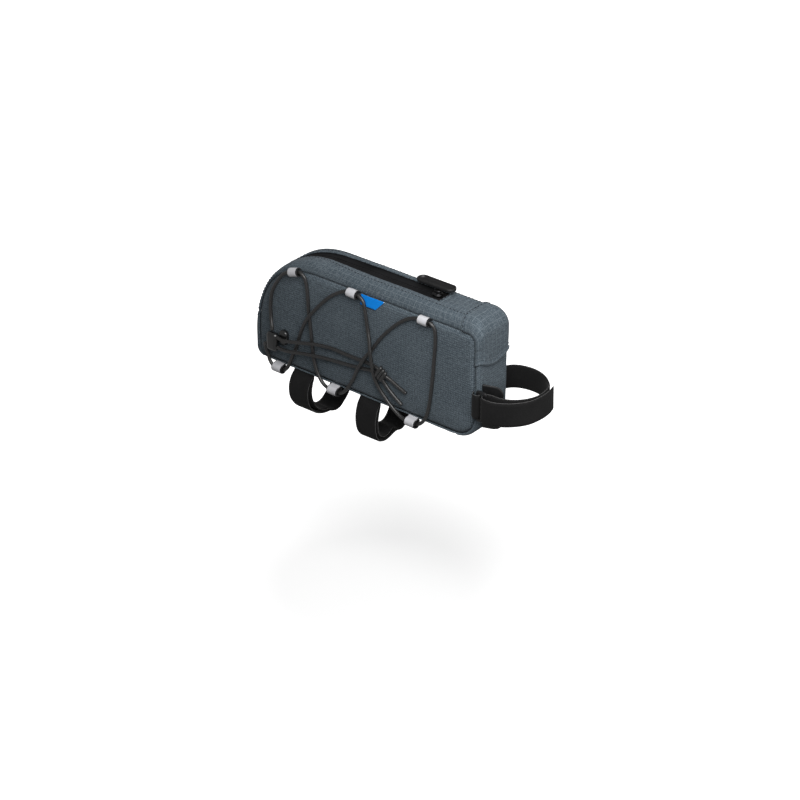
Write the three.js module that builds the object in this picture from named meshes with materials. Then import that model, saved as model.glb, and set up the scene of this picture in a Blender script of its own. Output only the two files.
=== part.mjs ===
// Top tube bag: a narrow bicycle frame bag with a padded side panel on each side,
// a gusset all round, a coated zip along the domed top, two base straps, a front
// strap through a slot ring, and an elastic cord laced through six small loops.
// Millimetres. +X is the front of the bag, +Z is up, -Y is the side with the lacing.
// The origin is the middle of the base, where the bag sits on the bicycle's tube.
import * as THREE from 'three';
import { mergeVertices } from 'three/addons/utils/BufferGeometryUtils.js';

// Overall sizes of the bag
const REAR_X = -136;
const FRONT_X = 137;
const TOP_Z = 124.5;
const HALF_WIDTH = 22;
const BAG_LENGTH = FRONT_X - REAR_X;
const BAG_WIDTH = 2 * HALF_WIDTH;

// The side seams lie inside the outer outline by these amounts
const SEAM_DROP_TOP = 14.5;
const SEAM_DROP_REAR = 5.5;
const SEAM_DROP_FRONT = 5;
const SEAM_DROP_BASE = 2.5;

// Cloth, webbing and clearances
const FABRIC = 1.6;
const PADDING = 3;
const SEAM_GAP = 0.4;
const LAP_GAP = 0.3;
const WEBBING = 1.8;
const WEBBING_WIDTH = 25;

// Outer outline and seam outline, seen from the side
const OUTER = {
  rear: REAR_X, front: FRONT_X, low: 0, high: TOP_Z,
  frontTopRadius: 16, frontLowRadius: 26, rearLowRadius: 10,
  curveLength: 0.345 * BAG_LENGTH, curveHeight: 0.835 * TOP_Z, curvePower: 2.2,
};
const SEAM = {
  rear: REAR_X + SEAM_DROP_REAR, front: FRONT_X - SEAM_DROP_FRONT,
  low: SEAM_DROP_BASE, high: TOP_Z - SEAM_DROP_TOP,
  frontTopRadius: 8, frontLowRadius: 22, rearLowRadius: 8,
  curveLength: 0.285 * BAG_LENGTH, curveHeight: 0.642 * TOP_Z, curvePower: 2.4,
};

// Roundness of the gusset's section: share of the half width that is flat, and how square the edge is
const SECTION = {
  top: { flat: 0.46, power: 2.1 },
  rear: { flat: 0.70, power: 2.8 },
  base: { flat: 0.80, power: 3.0 },
  front: { flat: 0.70, power: 2.8 },
};

// Zip along the top
const ZIP_HALF_WIDTH = 9;
const ZIP_LAP = 3;
const ZIP_TAPE = 1.2;
const ZIP_END_IN = 57;
const HOOD_DEPTH = 23;
const HOOD_LAP = 4;
const ZIP_FRONT_X = FRONT_X - ZIP_END_IN;
const HOOD_REAR_X = FRONT_X - HOOD_DEPTH;
const TAB_FRONT_X = HOOD_REAR_X + HOOD_LAP;
// Share of the zip's half width that is open, at places along the top and the rear curve
const ZIP_TAPER = [
  { segment: 'top', at: 0, share: 1 },
  { segment: 'top', at: 0.75, share: 1 },
  { segment: 'top', at: 1, share: 0.85 },
  { segment: 'rearCurve', at: 0.34, share: 0.58 },
  { segment: 'rearCurve', at: 0.46, share: 0.02 },
  { segment: 'rearCurve', at: 1, share: 0.02 },
];
const ZIP_REAR_AT = 0.46;
const STRIP_END_AT = 0.86;

// Front hood
const HOOD_EDGE_Z = 75.5;
const HOOD_EDGE_RISE = 8;
const HOOD_FRONT_LAP = 22;
const FRONT_PANEL_TOP_Z = HOOD_EDGE_Z + HOOD_FRONT_LAP;

// Padded side panels: share of the outline and height of the padding there
const PUFF_HEIGHT = 2.8;
const PANEL_EDGE_IN = 1;
const PUFF = [
  { share: 1, rise: 0 },
  { share: 0.965, rise: 0.5 },
  { share: 0.9, rise: 0.85 },
  { share: 0.76, rise: 1 },
];

// Small webbing loops that guide the cord
const CORD_DIAMETER = 3;
const LOOP_LENGTH = 13;
const LOOP_WALL = 1.2;
const LOOP_HOLE_RADIUS = 3.3;
const LOOP_RADIUS = LOOP_HOLE_RADIUS + LOOP_WALL;
const LOOP_STAND_OFF = HALF_WIDTH + LAP_GAP + LOOP_RADIUS;
const LOOP_TABLE = [
  { name: 'loop_top_rear', along: 0.207, top: true, drop: 1.5, tilt: 18 },
  { name: 'loop_top_mid', along: 0.4689, top: true, drop: 0.5, tilt: 0 },
  { name: 'loop_top_front', along: 0.7806, top: true, drop: 0.5, tilt: 0 },
  { name: 'loop_base_rear', along: 0.1245, top: false, drop: 4.9, tilt: 0 },
  { name: 'loop_base_mid', along: 0.381, top: false, drop: 4.9, tilt: 0 },
  { name: 'loop_base_front', along: 0.7289, top: false, drop: 4.9, tilt: 0 },
];

// Elastic cord: points chosen along its run, in millimetres
const LACING_POINTS = [
  [-107, -29.6, 38.3], [-107.6, -29, 42], [-110.8, -26.6, 51], [-111.5, -26, 63], [-109, -26, 78.5],
  [-101, -26.2, 93], [-93.5, -26.8, 102], [-86.2, -26.8, 106.3], [-79.5, -26.8, 108.5],
  [-73, -26.8, 110.2], [-68, -26.4, 107], [-65.7, -26, 99.5], [-64.3, -26, 88], [-63.4, -26, 74],
  [-60.5, -26, 48.5], [-57, -26, 21], [-51.5, -26, 6.5], [-45, -26.6, 0], [-38.6, -26.8, -2.4],
  [-25.4, -26.8, -2.4], [-19, -26.6, 1.5], [-9, -26, 17], [-4.5, -27.6, 26], [0, -29.5, 34],
  [4.5, -29.7, 41.5], [8.5, -29.3, 48.5], [15.3, -27, 58.5], [25, -26, 73.5], [41.5, -26, 92],
  [56, -26.2, 104], [64.5, -26.8, 108.2], [70.5, -26.8, 109.4], [83.2, -26.8, 109.4],
  [87.8, -26.4, 106], [89.3, -26, 97.5], [88.2, -26, 72.5], [85.3, -26, 40], [81.5, -26, 16],
  [77, -26.4, 4.5], [69.5, -26.8, -2.2], [56.3, -26.8, -2.4], [49, -26.6, -0.8], [37.5, -26, 6],
  [25.5, -26.6, 18], [20.4, -28.4, 28.5], [18.8, -29.9, 36.5], [17.9, -30.1, 42.5], [16.7, -30.4, 51],
  [15.5, -30.4, 58.5], [13.2, -28.5, 68], [10.5, -27, 76], [7, -27, 96], [4.5, -26.9, 105.5],
  [-1.5, -26.8, 109.4], [-14.5, -26.8, 109.4], [-22, -26.6, 106.5], [-38, -26, 95],
  [-54.5, -27.8, 76.5], [-62, -29.6, 66], [-72, -27.5, 47.5], [-79.5, -26.3, 27.5], [-86, -26.2, 13],
  [-91, -26.6, 1.8], [-95.7, -26.8, -2.4], [-108.3, -26.8, -2.2], [-113.2, -26.5, 1.5],
  [-115.8, -26.4, 9], [-117.2, -28.2, 17], [-116.4, -29.6, 21], [-113.4, -30, 22.2],
];
const UPPER_TAIL_POINTS = [
  [-99.1, -31.6, 34.2], [-94, -32, 33.6], [-86, -32.2, 34.4], [-75, -31.8, 37], [-66, -31.3, 39],
  [-54, -29.6, 41.3], [-36, -26.6, 42.3], [-18, -26, 41.6], [-4, -26, 41.6], [8, -26, 42], [15, -26.3, 42], [21, -26.9, 41],
];
const LOWER_TAIL_POINTS = [
  [-99.1, -31.6, 23.6], [-94, -31.6, 23], [-86, -31.2, 23.2], [-76, -30.6, 25], [-66, -29.9, 27],
  [-56, -29.5, 28.5], [-36, -26.6, 29.6], [-18, -26, 31], [-4, -26, 32.8], [7, -26, 34.4], [14, -26, 35.4], [20.4, -26.4, 35.6],
];
const UPPER_TIP_POINTS = [[31.4, -27, 35.7], [35.5, -26.2, 34], [44.5, -26, 30], [55.5, -26, 25.5]];
const LOWER_TIP_POINTS = [[27.7, -27, 31], [31.5, -26.2, 26], [38.5, -26, 19.5], [50.5, -26, 11.5]];
const KNOT = { x: 27.3, y: -27.6, z: 37.2, length: 13, width: 7.6, flatness: 0.62, tilt: 36 };

// Cord lock
const LOCK = { x: -106, y: -30, z: 27.3, width: 13, depth: 8, height: 19.5, corner: 3.4, round: 2 };
const PLUNGER = { x: -99.1, y: -27.1, z: 34, depth: 5.2, height: 16, length: 10, round: 1.8 };

// Straps: points of the middle of the webbing, as shares of the half width and of the strap's drop
const STRAP_DROP = 48;
const BASE_STRAPS = [
  {
    name: 'base_strap_rear', along: 0.2236,
    outer: [
      [-0.927, -0.006], [-1.164, -0.123], [-1.314, -0.279], [-1.336, -0.431],
      [-1.255, -0.598], [-1.027, -0.765], [-0.727, -0.885], [-0.386, -0.965],
      [-0.045, -1], [0.173, -1.012], [0.364, -1.052], [0.591, -1.073],
      [0.845, -1.048], [1.091, -0.973], [1.318, -0.89], [1.5, -0.775],
      [1.591, -0.598], [1.545, -0.369], [1.309, -0.16], [0.927, -0.006],
    ],
    inner: [
      [-0.909, -0.065], [-0.991, -0.16], [-1.073, -0.331], [-1.041, -0.473],
      [-0.927, -0.608], [-0.718, -0.765], [-0.455, -0.873], [-0.182, -0.931],
      [0.109, -0.952],
    ],
  },
  {
    name: 'base_strap_front', along: 0.5263,
    outer: [
      [-0.927, -0.006], [-1.118, -0.129], [-1.227, -0.285], [-1.259, -0.431],
      [-1.223, -0.608], [-1.109, -0.765], [-0.891, -0.877], [-0.591, -0.919],
      [-0.25, -0.902], [0.023, -0.86], [0.205, -0.846], [0.373, -0.865],
      [0.582, -0.869], [0.791, -0.819], [1, -0.702], [1.182, -0.535],
      [1.255, -0.348], [1.155, -0.16], [0.927, -0.006],
    ],
    inner: [
      [-0.909, -0.065], [-0.982, -0.181], [-1.064, -0.348], [-1.073, -0.515],
      [-1, -0.669], [-0.818, -0.781], [-0.545, -0.815], [-0.282, -0.781],
      [-0.1, -0.721],
    ],
  },
];
const FRONT_STRAP_LOW_Z = 29.5;
// Points of the front strap in plan: lengths ahead of the front seam, and across
const FRONT_STRAP_RUN = [
  [-3.5, 23.6], [-7, 29], [-6.2, 35], [-2.2, 40.2], [4.5, 44.2], [14.5, 46.2], [24.5, 45.2], [33, 42],
  [40.3, 37], [46, 30], [49.4, 20], [49.6, 8], [46.2, -2.2], [39, -12], [30.5, -17.3], [24, -18.7],
  [19, -18.7], [15.2, -18.9], [12.4, -20.6], [11.1, -24], [12.4, -27.4], [15.2, -29.1], [19, -29.4],
  [24, -29.1], [31, -26.6], [39, -21], [45.6, -13.6], [50.4, -5], [52.6, 5], [53, 15], [52, 24], [50, 31.5],
];

// Slot ring that the front strap passes through, and the flap that covers it
const RING = { width: 11.8, bar: 3.2, slot: 4.8, slotClear: 0.3, thick: 2.4, y: -24.4, ahead: 10.1 };
// Short band that holds the ring to the seam: its thickness, and points of its middle in plan
const ANCHOR_THICK = 1.2;
const ANCHOR_RUN = [
  [0.2, -22.9], [0.5, -25.4], [2.4, -27.6], [5.2, -28.4], [7.9, -27.4], [8.9, -25],
  [8.3, -22.9], [6.4, -22.3], [4.4, -22.4], [3.1, -22.9],
];
const FLAP = { length: 20, height: 45, corner: 9, lowZ: 15.5, thick: 1.6, yStart: -15.6, turn: 17 };

// Blue tag in the top seam
const TAG = { length: 28, height: 10, bevel: 9, thick: 0.8, rearX: -1.2, lean: 12 };

// Zip slider and puller
const SLIDER = { length: 11, width: 9, height: 6.2, x: 71 };
const PULLER = { length: 43, width: 12, thick: 3.2, rim: 2, recess: 1, overhang: 16, y: 5.4, clear: 0.5 };

// Materials
function cloth(color) {
  return new THREE.MeshStandardMaterial({ color, roughness: 0.85, metalness: 0 });
}
function plastic(color, roughness) {
  return new THREE.MeshStandardMaterial({ color, roughness, metalness: 0 });
}
const FABRIC_MATERIAL = cloth(0x56626c);
const WEBBING_MATERIAL = cloth(0x222224);
const CORD_MATERIAL = cloth(0x3c3a3a);
const TAPE_MATERIAL = plastic(0x2b2b2e, 0.55);
const TAG_MATERIAL = cloth(0x1272c4);
const RUBBER_MATERIAL = plastic(0x1b1b1c, 0.45);
const GLOSS_MATERIAL = plastic(0x161617, 0.25);
const METAL_MATERIAL = new THREE.MeshStandardMaterial({ color: 0x8d8f92, roughness: 0.35, metalness: 1 });

const bag = new THREE.Group();

function addPiece(name, geometry, material) {
  const mesh = new THREE.Mesh(geometry, material);
  mesh.name = name;
  bag.add(mesh);
  return mesh;
}

// Closed body from loose triangles, with its faces turned outwards
function bodyFromTriangles(triangles) {
  const positions = new Float32Array(triangles.length * 9);
  let volume = 0;
  triangles.forEach(([a, b, c]) => {
    volume += a.dot(new THREE.Vector3().crossVectors(b, c));
  });
  triangles.forEach(([a, b, c], i) => {
    const corners = volume > 0 ? [a, b, c] : [a, c, b];
    corners.forEach((p, k) => p.toArray(positions, i * 9 + k * 3));
  });
  const geometry = new THREE.BufferGeometry();
  geometry.setAttribute('position', new THREE.BufferAttribute(positions, 3));
  return mergeVertices(geometry, 1e-4);
}

function addQuad(triangles, a, b, c, d) {
  triangles.push([a, b, c], [a, c, d]);
}

// Wall between an outer and an inner grid of points of the same size
function wallFromGrids(outer, inner) {
  const rows = outer.length;
  const columns = outer[0].length;
  const triangles = [];
  for (let i = 0; i + 1 < rows; i += 1) {
    for (let j = 0; j + 1 < columns; j += 1) {
      addQuad(triangles, outer[i][j], outer[i + 1][j], outer[i + 1][j + 1], outer[i][j + 1]);
      addQuad(triangles, inner[i][j], inner[i][j + 1], inner[i + 1][j + 1], inner[i + 1][j]);
    }
  }
  for (let i = 0; i + 1 < rows; i += 1) {
    const last = columns - 1;
    addQuad(triangles, outer[i][0], inner[i][0], inner[i + 1][0], outer[i + 1][0]);
    addQuad(triangles, outer[i][last], outer[i + 1][last], inner[i + 1][last], inner[i][last]);
  }
  for (let j = 0; j + 1 < columns; j += 1) {
    const last = rows - 1;
    addQuad(triangles, outer[0][j], outer[0][j + 1], inner[0][j + 1], inner[0][j]);
    addQuad(triangles, outer[last][j], inner[last][j], inner[last][j + 1], outer[last][j + 1]);
  }
  return bodyFromTriangles(triangles);
}

const mix = (a, b, t) => a + (b - a) * t;
const QUARTER = Math.PI / 2;

// A point of an outline, seen from the side, on one of its segments at a share t
function outlinePoint(o, segment, t) {
  const arc = QUARTER * t;
  const power = 2 / o.curvePower;
  switch (segment) {
    case 'top':
      return [mix(o.front - o.frontTopRadius, o.rear + o.curveLength, t), o.high];
    case 'rearCurve':
      return [
        o.rear + o.curveLength * (1 - Math.sin(arc) ** power),
        o.high - o.curveHeight * (1 - Math.max(0, Math.cos(arc)) ** power),
      ];
    case 'rearLow':
      return [o.rear, mix(o.high - o.curveHeight, o.low + o.rearLowRadius, t)];
    case 'rearCorner':
      return [
        o.rear + o.rearLowRadius * (1 - Math.cos(arc)),
        o.low + o.rearLowRadius * (1 - Math.sin(arc)),
      ];
    case 'base':
      return [mix(o.rear + o.rearLowRadius, o.front - o.frontLowRadius, t), o.low];
    case 'frontCorner':
      return [
        o.front - o.frontLowRadius * (1 - Math.sin(arc)),
        o.low + o.frontLowRadius * (1 - Math.cos(arc)),
      ];
    case 'front':
      return [o.front, mix(o.low + o.frontLowRadius, o.high - o.frontTopRadius, t)];
    default:
      return [
        o.front - o.frontTopRadius * (1 - Math.cos(arc)),
        o.high - o.frontTopRadius * (1 - Math.sin(arc)),
      ];
  }
}

// The section's flat share and squareness change from one side of the bag to the next
const SECTION_ENDS = {
  top: ['top', 'top'],
  rearCurve: ['top', 'rear'],
  rearLow: ['rear', 'rear'],
  rearCorner: ['rear', 'base'],
  base: ['base', 'base'],
  frontCorner: ['base', 'front'],
  front: ['front', 'front'],
  frontTop: ['front', 'top'],
};

// A point of the gusset's outer face: v runs from -1 at the near seam to 1 at the far seam
const FLAT_V = 0.5;
function gussetPoint(segment, t, v) {
  const [from, to] = SECTION_ENDS[segment];
  const flat = HALF_WIDTH * mix(SECTION[from].flat, SECTION[to].flat, t);
  const power = mix(SECTION[from].power, SECTION[to].power, t);
  const size = Math.abs(v);
  let across = (flat * size) / FLAT_V;
  let out = 1;
  if (size > FLAT_V) {
    const angle = QUARTER * (1 - (size - FLAT_V) / (1 - FLAT_V));
    across = flat + (HALF_WIDTH - flat) * Math.max(0, Math.cos(angle)) ** (2 / power);
    out = Math.sin(angle) ** (2 / power);
  }
  const [ox, oz] = outlinePoint(OUTER, segment, t);
  const [sx, sz] = outlinePoint(SEAM, segment, t);
  return new THREE.Vector3(mix(sx, ox, out), Math.sign(v) * across, mix(sz, oz, out));
}

// Outward direction of the gusset's outer face
const STEP = 1e-3;
function gussetNormal(segment, t, v) {
  const t0 = Math.max(0, t - STEP);
  const t1 = Math.min(1, t + STEP);
  const v0 = Math.max(-1, v - STEP);
  const v1 = Math.min(1, v + STEP);
  const alongRun = gussetPoint(segment, t1, v).sub(gussetPoint(segment, t0, v));
  const across = gussetPoint(segment, t, v1).sub(gussetPoint(segment, t, v0));
  return new THREE.Vector3().crossVectors(across, alongRun).normalize();
}

// Part of the gusset: a list of places along the outline, a list of places across,
// and how deep its outer and inner faces lie below the gusset's outer face
function gussetPatch(places, acrossAt, depthOut, depthIn) {
  const outer = [];
  const inner = [];
  places.forEach((place) => {
    const rowOut = [];
    const rowIn = [];
    acrossAt(place).forEach((v, j) => {
      const t = Array.isArray(place.t) ? place.t[j] : place.t;
      const p = gussetPoint(place.segment, t, v);
      const n = gussetNormal(place.segment, t, v);
      rowOut.push(p.clone().addScaledVector(n, -depthOut));
      rowIn.push(p.clone().addScaledVector(n, -depthIn));
    });
    outer.push(rowOut);
    inner.push(rowIn);
  });
  return wallFromGrids(outer, inner);
}

function run(segment, from, to, steps, firstToo) {
  const places = [];
  for (let i = firstToo ? 0 : 1; i <= steps; i += 1) {
    places.push({ segment, t: mix(from, to, i / steps) });
  }
  return places;
}

function evenly(from, to, steps) {
  return Array.from({ length: steps + 1 }, (_, i) => mix(from, to, i / steps));
}

function topShareAt(x) {
  const start = OUTER.front - OUTER.frontTopRadius;
  const end = OUTER.rear + OUTER.curveLength;
  return (start - x) / (start - end);
}

function frontShareAt(z) {
  const start = OUTER.low + OUTER.frontLowRadius;
  const end = OUTER.high - OUTER.frontTopRadius;
  return (z - start) / (end - start);
}

const ALONG_ORDER = ['top', 'rearCurve'];
function zipShare(place) {
  const position = ALONG_ORDER.indexOf(place.segment) + place.t;
  for (let i = 0; i + 1 < ZIP_TAPER.length; i += 1) {
    const a = ZIP_TAPER[i];
    const b = ZIP_TAPER[i + 1];
    const from = ALONG_ORDER.indexOf(a.segment) + a.at;
    const to = ALONG_ORDER.indexOf(b.segment) + b.at;
    if (position <= to + 1e-9) {
      return mix(a.share, b.share, (position - from) / (to - from));
    }
  }
  return ZIP_TAPER[ZIP_TAPER.length - 1].share;
}

// Place across (v) of a distance y from the middle, within the flat part of the section
function flatV(place, y) {
  const [from, to] = SECTION_ENDS[place.segment];
  const flat = HALF_WIDTH * mix(SECTION[from].flat, SECTION[to].flat, place.t);
  return (FLAT_V * y) / flat;
}

function makeTopStrip(side) {
  const places = [
    ...run('top', topShareAt(TAB_FRONT_X), 0.75, 6, true),
    ...run('top', 0.75, 1, 2, false),
    ...run('rearCurve', 0, ZIP_REAR_AT, 7, false),
    ...run('rearCurve', ZIP_REAR_AT, STRIP_END_AT, 6, false),
  ];
  const across = (place) => {
    const edge = Math.max(zipShare(place) * ZIP_HALF_WIDTH, SEAM_GAP / 2);
    const inner = Math.min(flatV(place, edge), FLAT_V);
    return [1, 0.9, 0.78, 0.64, FLAT_V, inner].map((v) => side * v);
  };
  return gussetPatch(places, across, 0, FABRIC);
}

// One half of the closed zip: the edge of its tape is sewn under the strip
function makeZipHalf(side) {
  const rearAt = ZIP_REAR_AT - 0.03;
  const places = [
    ...run('top', topShareAt(ZIP_FRONT_X + ZIP_LAP), 1, 7, true),
    ...run('rearCurve', 0, rearAt, 6, false),
  ];
  const across = (place) => {
    const edge = zipShare(place) * ZIP_HALF_WIDTH + ZIP_LAP;
    const outerV = Math.min(flatV(place, edge), 0.6);
    return [outerV, outerV / 2, flatV(place, SEAM_GAP / 2)].map((v) => side * v);
  };
  const depth = FABRIC + LAP_GAP;
  return gussetPatch(places, across, depth, depth + ZIP_TAPE);
}

// Piece that closes the top between the zip's front end and the hood
function makeZipEndTab() {
  const places = run('top', topShareAt(TAB_FRONT_X), topShareAt(ZIP_FRONT_X), 2, true);
  const across = (place) => {
    const edge = flatV(place, ZIP_HALF_WIDTH - SEAM_GAP);
    return evenly(-edge, edge, 2);
  };
  return gussetPatch(places, across, 0, FABRIC);
}

// Hood over the front top edge, lapped over the strips and the front panel
function makeHood() {
  const columns = [-1, -0.9, -0.78, -0.64, -FLAT_V, -0.25, 0, 0.25, FLAT_V, 0.64, 0.78, 0.9, 1];
  const rearT = topShareAt(HOOD_REAR_X);
  const lowT = columns.map((v) => {
    const y = gussetPoint('front', 0.5, v).y / HALF_WIDTH;
    return frontShareAt(HOOD_EDGE_Z + HOOD_EDGE_RISE * y * y);
  });
  const places = [
    ...run('top', rearT, 0, 2, true),
    ...run('frontTop', 1, 0, 5, false),
  ];
  const steps = 3;
  for (let i = 1; i <= steps; i += 1) {
    places.push({ segment: 'front', t: lowT.map((t) => mix(1, t, i / steps)) });
  }
  return gussetPatch(places, () => columns, -(LAP_GAP + FABRIC), -LAP_GAP);
}

function makeFrontPanel() {
  const places = [
    ...run('front', frontShareAt(FRONT_PANEL_TOP_Z), 0, 4, true),
    ...run('frontCorner', 1, 0, 6, false),
  ];
  const across = [-1, -0.86, -0.7, -FLAT_V, -0.25, 0, 0.25, FLAT_V, 0.7, 0.86, 1];
  return gussetPatch(places, () => across, 0, FABRIC);
}

function makeBasePanel() {
  const length = OUTER.front - OUTER.frontLowRadius - (OUTER.rear + OUTER.rearLowRadius);
  const clear = SEAM_GAP / length;
  const places = run('base', 1 - clear, clear, 9, true);
  const across = [-1, -0.8, -FLAT_V, FLAT_V, 0.8, 1];
  return gussetPatch(places, () => across, 0, FABRIC);
}

function makeRearPanel() {
  const places = [
    ...run('rearCorner', 1, 0, 4, true),
    ...run('rearLow', 1, 0, 2, false),
    ...run('rearCurve', 1, STRIP_END_AT + 0.006, 3, false),
  ];
  const across = [-1, -0.86, -0.7, -FLAT_V, 0, FLAT_V, 0.7, 0.86, 1];
  return gussetPatch(places, () => across, 0, FABRIC);
}

// Closed outline of a side panel, just inside the seam
const PANEL_SEGMENTS = [
  ['top', 4], ['rearCurve', 12], ['rearLow', 2], ['rearCorner', 3],
  ['base', 5], ['frontCorner', 5], ['front', 4], ['frontTop', 3],
];
function panelOutline() {
  const points = [];
  PANEL_SEGMENTS.forEach(([segment, steps]) => {
    for (let i = 0; i < steps; i += 1) {
      const [x, z] = outlinePoint(SEAM, segment, i / steps);
      points.push(new THREE.Vector2(x, z));
    }
  });
  return insetOutline(points, SEAM_GAP);
}

// Moves each point of a closed outline inwards by a distance
function insetOutline(points, distance) {
  const count = points.length;
  const turn = THREE.ShapeUtils.isClockWise(points) ? 1 : -1;
  return points.map((p, i) => {
    const before = points[(i + count - 1) % count];
    const after = points[(i + 1) % count];
    const run1 = p.clone().sub(before).normalize();
    const run2 = after.clone().sub(p).normalize();
    const along = run1.add(run2).normalize();
    const inward = new THREE.Vector2(along.y, -along.x).multiplyScalar(turn);
    return p.clone().addScaledVector(inward, distance);
  });
}

// Closed body from rings of points stacked on each other, with a flat cap on the first and the last
function bodyFromRings(rings) {
  const triangles = [];
  rings.slice(1).forEach((ring, k) => {
    const below = rings[k];
    ring.forEach((p, i) => {
      const j = (i + 1) % ring.length;
      addQuad(triangles, below[i], below[j], ring[j], p);
    });
  });
  const caps = [[rings[0], 1], [rings[rings.length - 1], 0]];
  caps.forEach(([ring, turn]) => {
    const centre = new THREE.Vector3();
    ring.forEach((p) => centre.addScaledVector(p, 1 / ring.length));
    ring.forEach((p, i) => {
      const next = ring[(i + 1) % ring.length];
      triangles.push(turn ? [centre, next, p] : [centre, p, next]);
    });
  });
  return bodyFromTriangles(triangles);
}

function makeSidePanel(side) {
  const outline = panelOutline();
  const centre = new THREE.Vector2((SEAM.rear + SEAM.front) / 2, (SEAM.low + SEAM.high) / 2);
  const ringAt = ({ share, rise }, depth) => outline.map((p) => {
    const q = centre.clone().lerp(p, share);
    const y = HALF_WIDTH - PANEL_EDGE_IN + PUFF_HEIGHT * rise - depth;
    return new THREE.Vector3(q.x, side * y, q.y);
  });
  const outer = PUFF.map((row) => ringAt(row, 0));
  const inner = PUFF.map((row) => ringAt(row, PADDING)).reverse();
  return bodyFromRings([...inner, ...outer]);
}

// Body from a flat outline: each level gives its height and how far its outline is drawn in
function bodyFromLevels(plan, levels) {
  const outline = plan.getPoints(2).filter((p, i, all) => (
    p.distanceTo(all[(i + all.length - 1) % all.length]) > 1e-3
  ));
  return bodyFromRings(levels.map(([height, drawnIn]) => insetOutline(outline, drawnIn)
    .map((p) => new THREE.Vector3(p.x, p.y, height))));
}

// Smooth curve through plane points, evenly stepped
function smoothRun(points, steps) {
  const curve = new THREE.CatmullRomCurve3(
    points.map(([a, b]) => new THREE.Vector3(a, b, 0)), false, 'centripetal',
  );
  return curve.getSpacedPoints(steps).map((p) => new THREE.Vector2(p.x, p.y));
}

// Outline of a band of webbing that follows a run of plane points
function bandShape(points, thickness) {
  const left = [];
  const right = [];
  points.forEach((p, i) => {
    const before = points[Math.max(0, i - 1)];
    const after = points[Math.min(points.length - 1, i + 1)];
    const along = after.clone().sub(before).normalize();
    const side = new THREE.Vector2(-along.y, along.x).multiplyScalar(thickness / 2);
    left.push(p.clone().add(side));
    right.push(p.clone().sub(side));
  });
  return new THREE.Shape([...left, ...right.reverse()]);
}

function extruded(shape, depth, curveSegments = 8) {
  const geometry = new THREE.ExtrudeGeometry(shape, { depth, bevelEnabled: false, curveSegments });
  return geometry;
}

// Turns a shape drawn in (across, up) and pulled along Z so that it lies in YZ and is pulled along X
const TO_YZ = new THREE.Matrix4().set(0, 0, 1, 0, 1, 0, 0, 0, 0, 1, 0, 0, 0, 0, 0, 1);
// Turns a shape drawn in (along, up) and pulled along Z so that it lies in XZ and is pulled along -Y
const TO_XZ = new THREE.Matrix4().set(1, 0, 0, 0, 0, 0, -1, 0, 0, 1, 0, 0, 0, 0, 0, 1);

function makeBaseStraps() {
  BASE_STRAPS.forEach(({ name, along, outer, inner }) => {
    const centreX = mix(REAR_X, FRONT_X, along);
    [['outer', outer, 34], ['inner', inner, 16]].forEach(([layer, shares, steps]) => {
      const points = shares.map(([across, down]) => [across * HALF_WIDTH, down * STRAP_DROP - LAP_GAP]);
      const geometry = extruded(bandShape(smoothRun(points, steps), WEBBING), WEBBING_WIDTH);
      geometry.applyMatrix4(TO_YZ);
      const mesh = addPiece(`${name}_${layer}`, geometry, WEBBING_MATERIAL);
      mesh.position.set(centreX - WEBBING_WIDTH / 2, 0, 0);
    });
  });
}

function makeFrontStrap() {
  const points = FRONT_STRAP_RUN.map(([ahead, across]) => [SEAM.front + ahead, across]);
  const geometry = extruded(bandShape(smoothRun(points, 72), WEBBING), WEBBING_WIDTH);
  const mesh = addPiece('front_strap', geometry, WEBBING_MATERIAL);
  mesh.position.set(0, 0, FRONT_STRAP_LOW_Z);
}

function makeRingAnchor() {
  const points = ANCHOR_RUN.map(([ahead, across]) => [SEAM.front + ahead, across]);
  const geometry = extruded(bandShape(smoothRun(points, 30), ANCHOR_THICK), WEBBING_WIDTH);
  const mesh = addPiece('ring_anchor', geometry, WEBBING_MATERIAL);
  mesh.position.set(0, 0, FRONT_STRAP_LOW_Z);
}

function rectanglePath(path, x0, z0, x1, z1) {
  path.moveTo(x0, z0);
  path.lineTo(x1, z0);
  path.lineTo(x1, z1);
  path.lineTo(x0, z1);
  path.closePath();
  return path;
}

// The ring stands at the front of the near side; the strap folds round its front bar
function makeSlotRing() {
  const { width, bar, slot, slotClear, thick, y } = RING;
  const height = WEBBING_WIDTH + 2 * (slotClear + bar);
  const shape = rectanglePath(new THREE.Shape(), 0, 0, width, height);
  const side = (width - slot) / 2;
  shape.holes.push(rectanglePath(new THREE.Path(), side, bar, side + slot, height - bar));
  const geometry = extruded(shape, thick);
  geometry.applyMatrix4(TO_XZ);
  const middleZ = FRONT_STRAP_LOW_Z + WEBBING_WIDTH / 2;
  const slotX = SEAM.front + RING.ahead;
  const mesh = addPiece('slot_ring', geometry, RUBBER_MATERIAL);
  mesh.position.set(slotX - width / 2, y + thick / 2, middleZ - height / 2);
}

function makeRingFlap() {
  const { length, height, corner, lowZ, thick, yStart, turn } = FLAP;
  const shape = new THREE.Shape();
  shape.moveTo(0, 0);
  shape.lineTo(length - corner, 0);
  shape.absarc(length - corner, corner, corner, -QUARTER, 0, false);
  shape.lineTo(length, height - corner);
  shape.absarc(length - corner, height - corner, corner, 0, QUARTER, false);
  shape.lineTo(0, height);
  shape.closePath();
  const geometry = extruded(shape, thick, 4);
  geometry.applyMatrix4(TO_XZ);
  const mesh = addPiece('ring_flap', geometry, RUBBER_MATERIAL);
  mesh.rotation.z = THREE.MathUtils.degToRad(turn);
  mesh.position.set(FRONT_X + LAP_GAP, yStart, lowZ);
}

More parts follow.
